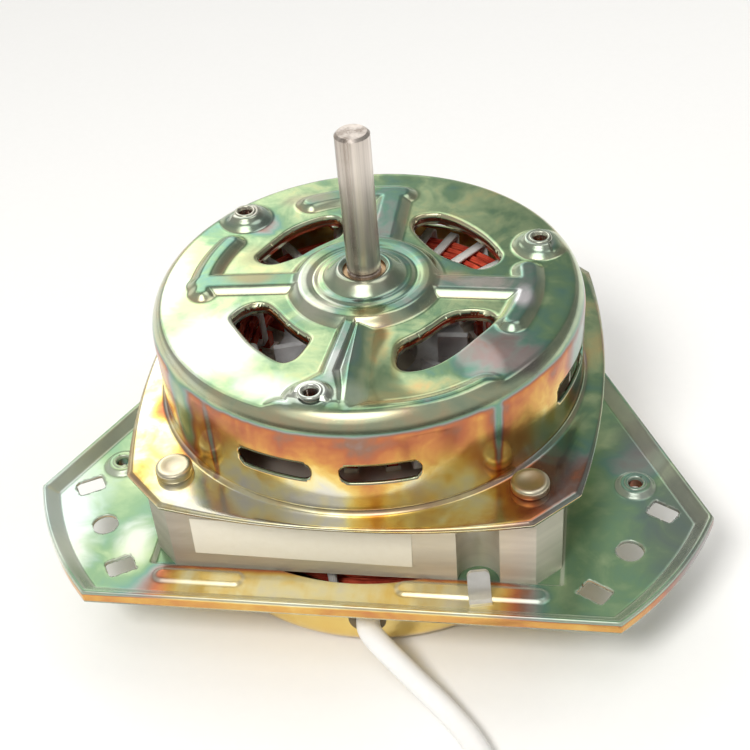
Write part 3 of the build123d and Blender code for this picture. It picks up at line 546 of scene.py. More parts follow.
rise = studio.node("ShaderNodeSeparateXYZ", {}, {"Vector": direction}, "Z")
low = 1.0 - rise.smooth(0.12, 0.42)
front = facing(180.0, 0.0)
shine = STUDIO_DIM + low * facing(70.0, 5.0).smooth(-0.2, 0.9) * 0.5
shine = shine * (1.0 - front.smooth(0.1, 0.7) * low * 0.9)
shine = shine * (1.0 - facing(-60.0, 30.0).smooth(0.75, 0.95) * 0.6)
for azimuth, elevation, edge, full, strength in SOFT_BOXES:
    shine = shine + facing(azimuth, elevation).smooth(edge, full) * strength
tint = studio.mix(rise.smooth(0.0, 0.8), (1.0, 0.985, 0.95), (1.0, 0.99, 0.97))
around = studio.node("ShaderNodeVectorMath", {"operation": "SCALE"}, {0: tint, "Scale": shine})
glow = studio.node("ShaderNodeBackground", {}, {"Color": around, "Strength": 1.0})
studio.node("ShaderNodeOutputWorld", {}, {"Surface": glow})
bpy.context.scene.view_settings.view_transform = "Standard"

# Top cover: panel with its raised hub, spokes, crossbars and pads, then shoulder, wall and flange
WINDOW_ROLL = 1.4
WINDOW_LIP = 2.4
# Outlines of the rolled edges of the back left, back right, front left and front right window
WINDOWS = [rounded(outline, 2) for outline in (
    [(-36.6, 12.4), (-35.2, 15.6), (-33.3, 19.6), (-31.6, 22.9), (-29.2, 27.2), (-25.9, 31.0),
     (-21.1, 34.6), (-17.0, 36.4), (-13.2, 36.0), (-10.6, 33.0), (-9.6, 27.5), (-10.6, 23.6),
     (-13.7, 21.0), (-18.1, 16.8), (-21.3, 12.7), (-24.7, 10.2), (-27.9, 8.2), (-31.2, 7.6),
     (-34.6, 9.0)],
    [(11.5, 37.2), (17.3, 38.4), (21.2, 36.9), (24.9, 34.6), (28.8, 31.4), (32.3, 27.8), (34.9, 24.6),
     (36.9, 21.4), (38.6, 18.5), (39.9, 15.4), (39.4, 12.0), (37.0, 8.8), (33.9, 7.0), (30.2, 7.6),
     (27.0, 10.0), (22.9, 12.0), (18.5, 15.6), (14.7, 20.4), (11.6, 24.8), (9.4, 29.0), (9.2, 33.6)],
    [(-38.0, -18.5), (-36.6, -15.2), (-35.1, -13.0), (-32.7, -10.8), (-29.4, -9.9), (-26.2, -10.8),
     (-23.2, -14.0), (-19.4, -18.8), (-14.9, -23.2), (-11.2, -25.8), (-10.9, -28.4), (-11.8, -31.5),
     (-13.0, -35.2), (-14.4, -37.4), (-16.8, -39.0), (-19.5, -38.7), (-23.3, -36.0), (-27.3, -32.6),
     (-30.6, -29.3), (-33.9, -24.8), (-36.4, -21.4)],
    [(12.2, -27.4), (17.7, -22.9), (21.6, -18.0), (24.2, -14.4), (27.2, -12.2), (30.8, -11.2),
     (34.9, -11.2), (38.8, -12.4), (40.5, -15.2), (39.6, -18.4), (37.0, -22.4), (34.4, -26.2),
     (31.4, -30.2), (28.6, -33.4), (26.0, -36.2), (23.0, -38.4), (19.6, -39.9), (15.9, -40.4),
     (12.9, -38.2), (11.8, -33.1)],
)]
PAD_ANGLES = (22.5, 142.5, 262.5)
PAD_PITCH_R = 54.0
PAD_R = 6.4
PAD_RISE = 1.2
PAD_HOLE_R = 2.1
pad_places = ring_places(PAD_PITCH_R, PAD_ANGLES)

# The shallow dish in front, and the rings and the collar of the hub
DISH = (24.0, -40.0)
DISH_R, DISH_FLOOR_R, DISH_DEPTH = 20.0, 8.0, 0.7
GROOVE_R, GROOVE_WIDTH, GROOVE_DEPTH = 15.4, 1.0, 0.45
BEAD_WIDTH, BEAD_RISE = 0.8, 0.25
COLLAR_FOOT_R, COLLAR_RIM_R, MOUTH_R, MOUTH_DROP = 13.4, 7.4, 6.3, 0.7


def raised_share(x, y):
    """How far each place is raised from the pockets: 0 in a pocket, 1 on the hub, spokes and arms."""
    radius, angle = np.hypot(x, y), np.degrees(np.arctan2(y, x))
    shapes = [(HUB_R - 1.0 - radius, 2.2)]
    # Spokes: radius and angle of both ends, half width, width of the slope
    bars = (
        (20.0, -3.0, 46.0, -2.0, 4.6, 2.3),
        (20.0, 84.0, 47.0, 87.0, 4.8, 2.4),
        (20.0, 183.0, 48.0, 184.0, 4.3, 2.3),
        (20.0, 266.0, 44.0, 265.0, 2.4, 1.5),
    )
    for first_r, first, last_r, last, half, width in bars:
        ends = [r * f(radians(a)) for r, a in ((first_r, first), (last_r, last)) for f in (cos, sin)]
        shapes.append((half - segment_distance(x, y, *ends), width))
    # Arms: radius, first and last angle, half width, width of the slope
    arms = (
        (47.6, -22.0, 9.0, 3.6, 2.2),
        (48.4, 157.0, 189.0, 3.2, 2.2),
        (47.6, 84.0, 119.0, 4.0, 2.3),
        (60.0, -104.0, -50.0, 3.8, 3.4),
    )
    for arc_r, first, last, half, width in arms:
        shapes.append((half - arc_distance(radius, angle, arc_r, first, last), width))
    beside_rib = outline_distance(x, y, [(-1.0, -20.0), (3.0, -20.0), (3.5, -40.0), (6.0, -60.0),
                                         (-1.0, -60.0)])
    shapes.append((-beside_rib, 4.5))
    fan = outline_distance(x, y, [(-5.0, -42.0), (-1.0, -42.0), (1.6, -50.0), (3.4, -60.0),
                                  (-16.0, -60.0), (-13.0, -50.0)])
    shapes.append((-fan, 2.4))
    for px, py in pad_places:
        shapes.append((PAD_R + 1.0 - np.hypot(x - px, y - py), 1.8))
    share = np.zeros(x.shape)
    for inside, width in shapes:
        share = soft_max(share, smooth_step(-width, width, inside), 0.12)
    return np.clip(share, 0.0, 1.0)


def window_field(x, y):
    """Signed distance outside the nearest window's rolled edge."""
    field = np.full(x.shape, 1e9)
    for outline in WINDOWS:
        field = np.minimum(field, outline_distance(x, y, outline))
    return field


def round_holes(field, x, y, places, hole_r):
    """A field with round holes added, each half a millimetre wider than its thread."""
    for px, py in places:
        field = np.minimum(field, np.hypot(x - px, y - py) - hole_r - 0.5)
    return field


def panel_height(x, y):
    """Height of the outer face of the panel."""
    radius = np.hypot(x, y)
    face = POCKET_TOP + (PANEL_TOP - POCKET_TOP) * raised_share(x, y)
    face = face - DISH_DEPTH * smooth_step(DISH_R, DISH_FLOOR_R, np.hypot(x - DISH[0], y - DISH[1]))
    hub = smooth_step(HUB_R - 1.0, HUB_R - 4.0, radius) * (HUB_TOP - PANEL_TOP)
    groove = np.exp(-((radius - GROOVE_R) / GROOVE_WIDTH) ** 2) * GROOVE_DEPTH
    bead = np.exp(-((radius - COLLAR_FOOT_R) / BEAD_WIDTH) ** 2) * BEAD_RISE
    collar = smooth_step(COLLAR_FOOT_R, COLLAR_RIM_R, radius) * (COLLAR_TOP - HUB_TOP)
    mouth = smooth_step(COLLAR_RIM_R, MOUTH_R, radius) * MOUTH_DROP
    face = face + hub - (groove - bead) + collar - mouth
    for px, py in pad_places:
        face = face + PAD_RISE * smooth_step(PAD_R - 0.4, PAD_R - 2.2, np.hypot(x - px, y - py))
    edge = window_field(x, y)
    inset = np.clip(-edge, 0.0, WINDOW_ROLL)
    roll = WINDOW_ROLL - np.sqrt(WINDOW_ROLL ** 2 - inset ** 2)
    return face - roll


TURNS = 720
PANEL_STEP = 0.45
WALL_STEP = 0.8
SLOT_ANGLES = [quarter * 90.0 - 3.0 + side * 13.6 for quarter in range(4) for side in (-1, 1)]
SLOT_LENGTH = 22.8
SLOT_HEIGHT = 6.4
SLOT_LEVEL = 42.8
# A side of the flange ends at the long and the short measure from the axis, and its middle at the bulge
FLANGE_LONG, FLANGE_SHORT, FLANGE_BULGE = 64.8, 52.5, 70.5
EDGE_DROP = 0.25
SHEET_THICKNESS = 1.1


def wall_slot_field(angle, level):
    """Signed distance outside the wall's rounded slots; the angle is in degrees."""
    field = np.full(angle.shape, 1e9)
    for middle in SLOT_ANGLES:
        along = ((angle - middle + 180.0) % 360.0 - 180.0) * radians(1.0) * WALL_R
        half = (SLOT_LENGTH - SLOT_HEIGHT) / 2
        away = np.hypot(np.maximum(np.abs(along) - half, 0.0), level - SLOT_LEVEL)
        field = np.minimum(field, away - SLOT_HEIGHT / 2)
    return field


def flange_reach(angle):
    """Radius of the square flange's outline at an angle in degrees."""
    turn = (angle + 90.0 + 45.0) % 90.0 - 45.0
    sag = FLANGE_BULGE - FLANGE_LONG
    arc_r = (FLANGE_SHORT ** 2 + sag ** 2) / (2 * sag)
    centre = FLANGE_BULGE - arc_r
    c, s = np.cos(np.radians(turn)), np.sin(np.radians(turn))
    on_arc = centre * c + np.sqrt(arc_r ** 2 - (centre * s) ** 2)
    on_cut = (FLANGE_LONG + FLANGE_SHORT) / (c + np.abs(s))
    return np.minimum(on_arc, on_cut)


def made_cover():
    """The drawn top cover as one sheet, holes and all."""
    angle = np.arange(TURNS) * 360.0 / TURNS
    panel_r = np.concatenate([[MOUTH_R, 6.5, 6.8, 7.1],
                              np.arange(COLLAR_RIM_R, WALL_R - SHOULDER_R, PANEL_STEP)])
    shoulder = np.radians(np.linspace(0.0, 90.0, 26))
    wall_z = np.arange(PANEL_TOP - SHOULDER_R - WALL_STEP, FLANGE_TOP + FLANGE_FILLET, -WALL_STEP)
    fillet = np.radians(np.linspace(0.0, 90.0, 7))
    flange_share = np.linspace(0.0, 1.0, 8)[1:]
    x, y = polar(*np.meshgrid(panel_r, angle, indexing="ij"))

    def hole_edge(px, py):
        return round_holes(window_field(px, py) + WINDOW_ROLL * 0.98, px, py, pad_places, PAD_HOLE_R)

    x, y = settle_on(hole_edge, x, y, 0.27)
    keep = [hole_edge(x, y) > -0.12]
    z = [soft_min(panel_height(x, y), np.full(x.shape, PANEL_TOP + 20.0), 1.0)]
    radii, turned = [np.hypot(x, y)], [np.degrees(np.arctan2(y, x))]
    outer = WALL_R - SHOULDER_R + SHOULDER_R * np.sin(shoulder)
    fall = PANEL_TOP - SHOULDER_R + SHOULDER_R * np.cos(shoulder)
    ring_r, ring_a = np.meshgrid(outer, angle, indexing="ij")
    top = panel_height(*polar(ring_r, ring_a))
    z.append(soft_min(top, np.repeat(fall[:, None], TURNS, 1), 1.0))
    radii.append(ring_r)
    turned.append(ring_a)
    keep.append(np.ones(ring_r.shape, bool))
    wall, wall_a = np.meshgrid(wall_z, angle, indexing="ij")
    scale = 1.0 / (radians(1.0) * WALL_R)
    arc, wall = settle_on(lambda a, b: wall_slot_field(a * scale, b), wall_a / scale, wall, 0.42)
    wall_a = arc * scale
    z.append(wall)
    radii.append(np.full(wall.shape, WALL_R))
    turned.append(wall_a)
    keep.append(wall_slot_field(wall_a, wall) > -0.2)

    def add_ring(ring, height):
        z.append(np.full(TURNS, height))
        radii.append(np.broadcast_to(ring, TURNS))
        turned.append(angle)
        keep.append(np.ones(TURNS, bool))

    for step in fillet:
        add_ring(WALL_R + FLANGE_FILLET * (1 - cos(step)), FLANGE_TOP + FLANGE_FILLET * (1 - sin(step)))
    reach = flange_reach(angle)
    for share in flange_share:
        add_ring((WALL_R + FLANGE_FILLET) * (1 - share) + reach * share,
                 FLANGE_TOP - (EDGE_DROP if share == 1.0 else 0.0))
    x, y = polar(np.vstack(radii), np.vstack(turned))
    return grid_piece("top_cover_sheet", x, y, np.vstack(z), np.vstack(keep))


def turned_down(piece, test, depth):
    """Lengthen the free edges that pass a test, straight down, as a lip turned into a window."""
    mesh = bmesh.new()
    mesh.from_mesh(piece.data)
    chosen = [e for e in mesh.edges if e.is_boundary and all(test(v.co) for v in e.verts)]
    for share in (0.35, 0.65):
        made = bmesh.ops.extrude_edge_only(mesh, edges=chosen)["geom"]
        for vert in [g for g in made if isinstance(g, bmesh.types.BMVert)]:
            vert.co.z -= depth * share * MM
        chosen = [g for g in made if isinstance(g, bmesh.types.BMEdge) and g.is_boundary
                  and abs(g.verts[0].co.z - g.verts[1].co.z) < depth * share * MM * 0.6]
    for face in mesh.faces:
        face.smooth = True
    mesh.to_mesh(piece.data)
    mesh.free()
    return piece


def near_window(spot):
    radius = spot.xy.length / MM
    return 22.0 < radius < 45.0 and spot.z > 55.0 * MM


cover = thicken(turned_down(made_cover(), near_window, WINDOW_LIP), SHEET_THICKNESS)
carried(cover, "housing", "yellow_zinc", "top_cover")


def necked_hole(name, places, level, hole_r, depth, node):
    """The extruded neck of a tapped hole at each place: a rounded rim, then a threaded bore."""
    outline = [(hole_r + wider, level + rise) for wider, rise in (
        (1.5, -0.35), (1.35, 0.05), (1.0, 0.28), (0.6, 0.3), (0.25, 0.12), (0.05, -0.3))]
    below = level - 0.6
    while below > level - depth:
        outline += [(hole_r, below), (hole_r - 0.25, below - 0.25)]
        below -= 0.5
    outline += [(hole_r, below), (hole_r + 1.0, below), (hole_r + 1.0, level - 1.0)]
    ring = lathe(name, outline, 36, places, False)
    return carried(ring, "housing", "yellow_zinc", node)


pad_necks = necked_hole("cover_pad_necks", pad_places, PANEL_TOP + PAD_RISE, PAD_HOLE_R, 3.5, "top_cover")

# Base plate: tray with a flared lip, stamped floor, holes and bosses
WING_ANGLES = (-30.0, 90.0, 210.0)
WING_PITCH_R = 91.5
WING_HOLE_R = 4.0
WING_WINDOW = (8.4, 6.4)
WING_OFFSET = 19.2
WING_CORNER_R = 0.9
BOSS_ANGLES = (-13.0, 193.0)
BOSS_PITCH_R = 83.0
BOSS_R = 5.8
BOSS_RISE = 1.4
BOSS_HOLE_R = 2.1
boss_places = ring_places(BOSS_PITCH_R, BOSS_ANGLES)
OPENING_R = 64.3
PLATE_EDGES = ((-90.0, FRONT_EDGE), (SIDE_NORMAL, SIDE_EDGE), (180.0 - SIDE_NORMAL, SIDE_EDGE))
STRIPS = ((-56.0, -34.0), (16.0, 54.0))
STRIP_Y = -65.2
STRIP_RISE = 0.8
SEAT_GAP = 0.3
SEAT_DEPTH = 1.0
PLATE_TURNS = 900


def plate_reach(angle, inset):
    """Radius of the plate's outline at an angle in degrees, drawn in by an inset."""
    reach = np.full(angle.shape, LOBE_R - inset)
    for normal, edge in PLATE_EDGES:
        facing = np.cos(np.radians(angle - normal))
        reach = np.where(facing > 0.2, np.minimum(reach, (edge - inset) / np.maximum(facing, 0.2)), reach)
    return reach


def plate_hole_field(x, y):
    """Signed distance outside the plate's holes."""
    field = np.full(x.shape, 1e9)
    for angle in WING_ANGLES:
        c, s = cos(radians(angle)), sin(radians(angle))
        along, across = x * c + y * s - WING_PITCH_R, -x * s + y * c
        field = np.minimum(field, np.hypot(along, across) - WING_HOLE_R)
        for side in (-1, 1):
            dx = np.abs(along) - WING_WINDOW[0] / 2 + WING_CORNER_R
            dy = np.abs(across - side * WING_OFFSET) - WING_WINDOW[1] / 2 + WING_CORNER_R
            box = np.hypot(np.maximum(dx, 0), np.maximum(dy, 0)) + np.minimum(np.maximum(dx, dy), 0)
            field = np.minimum(field, box - WING_CORNER_R)
    return round_holes(field, x, y, boss_places, BOSS_HOLE_R)


def plate_height(x, y):
    """Height of the upper face of the plate's floor."""
    z = np.zeros(x.shape)
    for px, py in boss_places:
        away = np.hypot(x - px, y - py)
        z = z + BOSS_RISE * smooth_step(BOSS_R + 0.6, BOSS_R - 1.6, away)
    for first, last in STRIPS:
        away = segment_distance(x, y, first, STRIP_Y, last, STRIP_Y)
        z = z + STRIP_RISE * smooth_step(3.6, 1.2, away)
    seat = np.maximum(np.abs(x), np.abs(y)) - (STACK_HALF + SEAT_GAP)
    return z - SEAT_DEPTH * smooth_step(0.6, -0.6, seat)


def made_plate():
    angle = np.arange(PLATE_TURNS) * 360.0 / PLATE_TURNS
    for normal, edge in PLATE_EDGES:
        half = degrees(acos(edge / LOBE_R))
        for corner in (normal - half, normal + half):
            index = int(round(corner % 360.0 / 360.0 * PLATE_TURNS)) % PLATE_TURNS
            angle[index] = corner % 360.0
    floor_share = np.linspace(0.0, 1.0, 90)
    # The lip's section: inset from the outline, and height
    lip = ((5.4, 0.0), (4.9, 0.12), (4.4, 0.45), (3.9, 0.9), (3.2, 1.5), (2.5, 2.15), (1.9, 2.7),
           (1.5, 3.0), (1.1, 3.2), (0.75, 3.25), (0.4, 3.05), (0.15, 2.65), (0.0, 2.1), (0.0, 1.0),
           (0.0, -0.2), (0.05, -0.9))
    inner = plate_reach(angle, lip[0][0])
    rows = [OPENING_R * (1 - share) + inner * share for share in floor_share[:-1]]
    radius = np.stack(rows)
    turn = np.repeat(angle[None, :], len(rows), 0)
    x, y = polar(radius, turn)
    x, y = settle_on(plate_hole_field, x, y, 0.33)
    keep = [plate_hole_field(x, y) > -0.15]
    xs, ys, zs = [x], [y], [plate_height(x, y)]
    for inset, rise in lip:
        x, y = polar(plate_reach(angle, inset), angle)
        xs.append(x)
        ys.append(y)
        zs.append(np.full(PLATE_TURNS, rise))
        keep.append(np.ones(PLATE_TURNS, bool))
    return grid_piece("base_plate_tray", np.vstack(xs), np.vstack(ys), np.vstack(zs), np.vstack(keep))


plate = thicken(made_plate(), SHEET_THICKNESS)
carried(plate, "housing", "yellow_zinc", "base_plate")
boss_necks = necked_hole("plate_boss_necks", boss_places, BOSS_RISE, BOSS_HOLE_R, 3.4, "base_plate")

# Through bolts with dished heads and threaded ends
bolt_places = [(sx * BOLT_PLACE, sy * BOLT_PLACE) for sx in (-1, 1) for sy in (-1, 1)]
BOLT_R = 2.4
THREAD_ROOT_R = 2.05
THREAD_END, THREAD_START, THREAD_PITCH = -12.4, -4.0, 0.8
thread = []
level_z = THREAD_END
while level_z < THREAD_START:
    thread += [(BOLT_R, level_z), (THREAD_ROOT_R, level_z + THREAD_PITCH / 2)]
    level_z += THREAD_PITCH
bolt_outline = [(1.6, -12.6)] + thread + [
    (BOLT_R, THREAD_START), (BOLT_R, FLANGE_TOP)] + [(r, FLANGE_TOP + rise) for r, rise in (
        (5.1, 0.0), (5.35, 0.3), (5.4, 0.8), (5.4, 1.9), (5.25, 2.5), (4.8, 2.82), (4.2, 2.9),
        (3.6, 2.86), (2.6, 2.66), (1.4, 2.5), (0.3, 2.46))]
bolts = lathe("through_bolt_set", bolt_outline, 40, bolt_places)
carried(bolts, "housing", "plated_steel", "through_bolts")

# Winding heads: stranded wire along the coiled solids, and cord ties round them
WIRE_PITCH = 3.0
WINDING_R = 36.5
WINDING_TURNS = 5
WINDING_LAYERS = 4
STRANDS = 5
STRAND_D = 0.95
STRAND_OFF = 0.62
STRAND_TWIST = 0.55
HALF_STEPS = 20
# Each winding head: height of its first layer, the way it grows, foot and top of its ties
HEADS = (("upper", 34.4, 1, 32.4, 45.6), ("lower", -8.4, -1, -19.6, -6.4))


def winding_line(start, growth):
    """Points along a winding head: half turns that spiral out and in, and climb a layer between."""
    ends = []
    halves = 2 * WINDING_TURNS
    for layer in range(WINDING_LAYERS):
        for step in range(halves):
            out = step if layer % 2 == 0 else halves - 1 - step
            hand = 1 if len(ends) % 2 == 0 else -1
            ends.append((hand * (WINDING_R + out * WIRE_PITCH / 2), start + growth * layer * WIRE_PITCH))
    line = []
    for (ax, az), (bx, bz) in zip(ends, ends[1:]):
        middle, half = (ax + bx) / 2, (ax - bx) / 2
        way = 1.0 if ax > bx else -1.0
        for step in range(HALF_STEPS):
            turn = pi * step / HALF_STEPS
            line.append((middle + half * cos(turn), way * abs(half) * sin(turn),
                         az + (bz - az) * step / HALF_STEPS))
    line.append((ends[-1][0], 0.0, ends[-1][1]))
    return line


for head, start, way, _, _ in HEADS:
    line = winding_line(start, way)
    strands = []
    for strand in range(STRANDS):
        route = []
        for index, (x, y, z) in enumerate(line):
            turn = 2 * pi * strand / STRANDS + index * STRAND_TWIST
            radius = np.hypot(x, y)
            shift = STRAND_OFF * cos(turn) / radius
            route.append((x + x * shift, y + y * shift, z + STRAND_OFF * sin(turn)))
        strands.append(route)
    piece = round_wire(f"{head}_winding_strands", strands, STRAND_D, 1)
    for spline in piece.data.splines:
        spline.resolution_u = 2
    carried(piece, "housing", "enamelled_wire", f"{head}_winding_head")

LACE_ANGLES = (8.0, 33.0, 42.0, 53.0, 67.0, 74.0, 110.0, 128.0,
               141.0, 172.0, 203.0, 234.0, 262.0, 292.0, 322.0, 348.0)
LACE_IN, LACE_OUT = 34.6, 53.4
TAPE_CORNER, TAPE_WIDTH, TAPE_THICKNESS = 1.6, 3.0, 0.8


def made_lacing(name, low, high, leans):
    """Flat tape ties round a winding head: a rounded loop of a flat section at each angle."""
    points, faces = [], []
    right, left = LACE_OUT - TAPE_CORNER, LACE_IN + TAPE_CORNER
    top, foot = high - TAPE_CORNER, low + TAPE_CORNER
    for angle, lean in leans:
        path = []
        for cx, cz, first in ((right, top, 0), (left, top, 90), (left, foot, 180), (right, foot, 270)):
            for step in range(5):
                turn = radians(first + step * 22.5)
                path.append((cx + TAPE_CORNER * cos(turn), cz + TAPE_CORNER * sin(turn),
                             cos(turn), sin(turn)))
        base = len(points)
        for radius, height, nr, nz in path:
            shift = lean * (height - low) / (high - low)
            for across, out in ((-0.5, -0.5), (-0.42, 0.5), (0.42, 0.5), (0.5, -0.5)):
                reach = radius + nr * out * TAPE_THICKNESS
                turn = radians(angle) + (across * TAPE_WIDTH + shift) / radius
                points.append((reach * cos(turn) * MM, reach * sin(turn) * MM,
                               (height + nz * out * TAPE_THICKNESS) * MM))
        count = len(path)
        for index in range(count):
            after = (index + 1) % count
            for edge in range(4):
                nxt = (edge + 1) % 4
                faces.append([base + index * 4 + edge, base + after * 4 + edge,
                              base + after * 4 + nxt, base + index * 4 + nxt])
    return mesh_piece(name, points, faces)


for head, _, _, low, high in HEADS:
    leans = [(a, 1.2 if i % 2 else -0.8) for i, a in enumerate(LACE_ANGLES)]
    tapes = made_lacing(f"{head}_lacing_tapes", low, high, leans)
    carried(tapes, "housing", "lacing_tape", f"{head}_lacing")


# Finishes
def cover_thickness(shader, upright):
    """Film on the top cover: green panel, gold to orange up the wall with a painted reflection of an
    orange floor in the orange, gold to green along the flange.
    """
    streak = shader.noise(60.0, 3.0, 0.6, 0.0, shader.stretched(1, 1, 0.08)) - 0.5
    level = shader.along("Z")
    # Gold low on the wall to orange higher up: partly the film's own colour, partly a painted reflection
    # of an orange floor
    climb = ((level - 33.0) / 20.0).clamped()
    wall = 0.06 + climb * 0.27 + streak * 0.36
    panel = 0.71 - level.smooth(60.4, 61.9) * 0.11
    on_flange = 1.0 - level.smooth(29.5, 31.0)
    across = shader.along("X")
    rightward = across.smooth(38.0, 56.0)
    flange = 0.05 + ((across + 50.0) / 100.0).clamped() * 0.07 + rightward * 0.30
    flange = flange + rightward * shader.along("Y").smooth(-45.0, -20.0) * 0.28
    panel = panel + (flange - panel) * on_flange
    return panel + (wall - panel) * (1.0 - upright).smooth(0.55, 0.85)


# Where the film is thicker or thinner: middle, reach along each axis, thickness, share
cover_spots = (
    ((30, 46, 61), (30, 14, 9), 0.71, 0.9),
    ((-2, 54, 61), (16, 9, 9), 0.62, 0.8),
    ((58, 2, 59), (6, 34, 8), 0.72, 0.8),
    ((38, -28, 60), (17, 17, 5), 0.50, 0.75),
    ((24, -46, 60), (17, 6, 4), 0.86, 0.95),
    ((8, -55, 60), (12, 5, 5), 0.76, 0.9),
    ((36, -50, 60), (12, 7, 6), 0.70, 0.8),
    ((8, -29, 60), (5, 14, 5), 0.90, 0.9),
    ((-50, -14, 60), (10, 14, 6), 0.78, 0.7),
    ((-57, 8, 60), (8, 26, 8), 0.79, 0.9),
    ((-37, 30, 60), (9, 9, 5), 0.44, 0.8),
    ((-14, 2, 62), (8, 16, 6), 0.78, 0.9),
    ((15, 4, 62), (6, 14, 6), 0.72, 0.7),
    ((4, -18, 62), (12, 6, 5), 0.83, 0.9),
    ((-48, -42, 42), (10, 9, 24), 0.80, 0.9),
    ((-60, -22, 42), (8, 12, 24), 0.60, 0.9),
    ((-38, -52, 42), (2.2, 2.2, 24), 0.60, 0.8),
    ((42, -48, 45), (2.5, 2.5, 24), 0.66, 0.8),
    ((62, -12, 42), (8, 16, 24), 0.70, 0.85),
)
# Where the sheet shows another tone or a painted highlight: middle, reach along each axis, colour, share
cover_tints_and_highlights = (
    # Painted highlight: a near-white patch on the front left panel
    ((-38, -32, 60), (20, 20, 6), (0.84, 0.83, 0.74), 0.85),
    ((-20, -49, 60), (14, 8, 6), (0.74, 0.82, 0.70), 0.7),
    ((-58, -4, 58), (7, 26, 8), (0.74, 0.80, 0.70), 0.7),
    ((-43, 33, 63), (8, 8, 3), (0.72, 0.64, 0.54), 0.7),
    ((50, 21, 63), (8, 8, 3), (0.80, 0.76, 0.66), 0.7),
    ((-7, -53, 63), (8, 8, 3), (0.90, 0.90, 0.86), 0.8),
    ((4, -52, 62), (8, 7, 5), (0.70, 0.82, 0.62), 0.7),
    ((-12, -14, 62), (9, 9, 4), (0.86, 0.84, 0.66), 0.7),
    ((19, 2, 62), (5, 12, 4), (0.40, 0.36, 0.20), 0.6),
    ((-24, 44, 61), (14, 6, 5), (0.42, 0.34, 0.24), 0.6),
    ((-36, 12, 61), (9, 9, 5), (0.34, 0.30, 0.16), 0.6),
    ((26, 3, 61), (8, 5, 4), (0.72, 0.52, 0.34), 0.6),
    ((14, -34, 61), (3, 11, 4), (0.72, 0.62, 0.24), 0.8),
    ((46, -34, 60), (14, 8, 5), (0.36, 0.28, 0.27), 0.7),
    ((0, -4, 65), (12, 10, 4), (0.78, 0.66, 0.52), 0.6),
    ((-17, -2, 62), (6, 14, 4), (0.80, 0.80, 0.70), 0.7),
    ((-3, -40, 61), (4, 12, 4), (0.56, 0.58, 0.56), 0.8),
    ((-34, -1, 62), (12, 5, 3), (0.30, 0.25, 0.13), 0.8),
    ((36, -1, 62), (11, 5, 3), (0.64, 0.58, 0.52), 0.8),
    # Painted highlight: a near-white patch on the right crossbar
    ((47, -8, 62), (4, 7, 3), (0.90, 0.86, 0.88), 0.9),
    ((-12, -53, 62), (8, 7, 4), (0.80, 0.82, 0.74), 0.6),
)
cover_film = zinc_finish("cover_passivate", cover_thickness, cover_spots, cover_tints_and_highlights, edge_shift=0.09,
                         swing=0.42, edge_highlight_paint=0.35, roughness=0.17, metallic=0.93)


def plate_thickness(shader, upright):
    """Film on the plate: green wings, a pale gold front and an orange lip whose orange is a painted
    reflection of an orange floor.
    """
    across, away = shader.along("X"), shader.along("Y")
    front_share = (0.0 - away).smooth(58.0, 64.0) * (1.0 - across.smooth(36.0, 62.0))
    front_share = front_share * (1.0 - (0.0 - across).smooth(46.0, 70.0))
    streak = shader.noise(110.0, 3.0, 0.6, 0.0, shader.stretched(1, 0.15, 1)) - 0.5
    floor_film = 0.68 + front_share * (streak * 0.25 - 0.57)
    # Steep faces, the lip, turn orange: painted reflection of an orange floor
    return floor_film + (0.25 - floor_film) * (1.0 - upright).smooth(0.6, 0.9)


plate_spots = (
    ((88, -40, 1), (26, 34, 9), 0.64, 0.9),
    ((80, -8, 1), (14, 16, 9), 0.50, 0.9),
    ((74, -66, 1), (12, 8, 5), 0.66, 0.9),
    ((-98, -44, 1), (12, 22, 9), 0.60, 0.8),
    ((-76, -20, 1), (12, 22, 9), 0.76, 0.9),
    ((-66, -60, 1), (12, 12, 6), 0.78, 0.7),
    ((0, 80, 1), (50, 40, 9), 0.70, 0.8),
)
# Painted reflections on the plate: pale on the left wing and front left, painted dark reflection near
# black on the right wing; middle, reach along each axis, colour, share
plate_painted_reflections = (
    ((-96, -40, 1), (20, 30, 9), (0.76, 0.86, 0.80), 0.75),
    ((96, -34, 1), (24, 34, 9), (0.17, 0.17, 0.19), 0.6),
    ((84, 2, 1), (16, 18, 9), (0.20, 0.16, 0.17), 0.5),
    ((-88, -58, 1), (12, 14, 6), (0.82, 0.86, 0.76), 0.8),
    ((-68, -52, 1), (8, 14, 6), (0.82, 0.84, 0.74), 0.7),
)
plate_film = zinc_finish("plate_passivate", plate_thickness, plate_spots, plate_painted_reflections, edge_shift=0.02,
                         swing=0.22, edge_highlight_paint=0.6, roughness=0.24, metallic=0.7)
lower_film = zinc_finish("lower_passivate", 0.155, (), (), edge_shift=0.04, swing=0.10, edge_highlight_paint=0.2,
                         roughness=0.24, metallic=0.85)
dressed(cover, cover_film)
dressed(plate, plate_film)
dressed(pad_necks, cover_film)
dressed(boss_necks, plate_film)
head_zinc = Shader("bolt_zinc")
head_tones = ((0.3, (0.80, 0.74, 0.50)), (0.7, (0.86, 0.78, 0.62)))
dressed(bolts, head_zinc.finish(
    Base_Color=head_zinc.ramp(head_zinc.noise(160.0, 3.0), head_tones), Metallic=1.0,
    Roughness=0.28 + head_zinc.noise(400.0, 2.0) * 0.1))


def metal(name, dark, light, roughness, scale=200.0, stretch=(1, 1, 1), relief=0.05, metallic=1.0):
    """Plain metal with grain that can run one way."""
    shader = Shader(name)
    grain = shader.noise(scale, 4.0, 0.6, 0.0, shader.stretched(*stretch))
    cloud = shader.noise(60.0, 2.0)
    return shader.finish(
        Base_Color=shader.mix((grain * 0.75 + cloud * 0.25).smooth(0.3, 0.7), dark, light),
        Metallic=metallic, Roughness=roughness + (grain - 0.5) * 0.12,
        Normal=shader.bump(grain, relief, 0.0002))


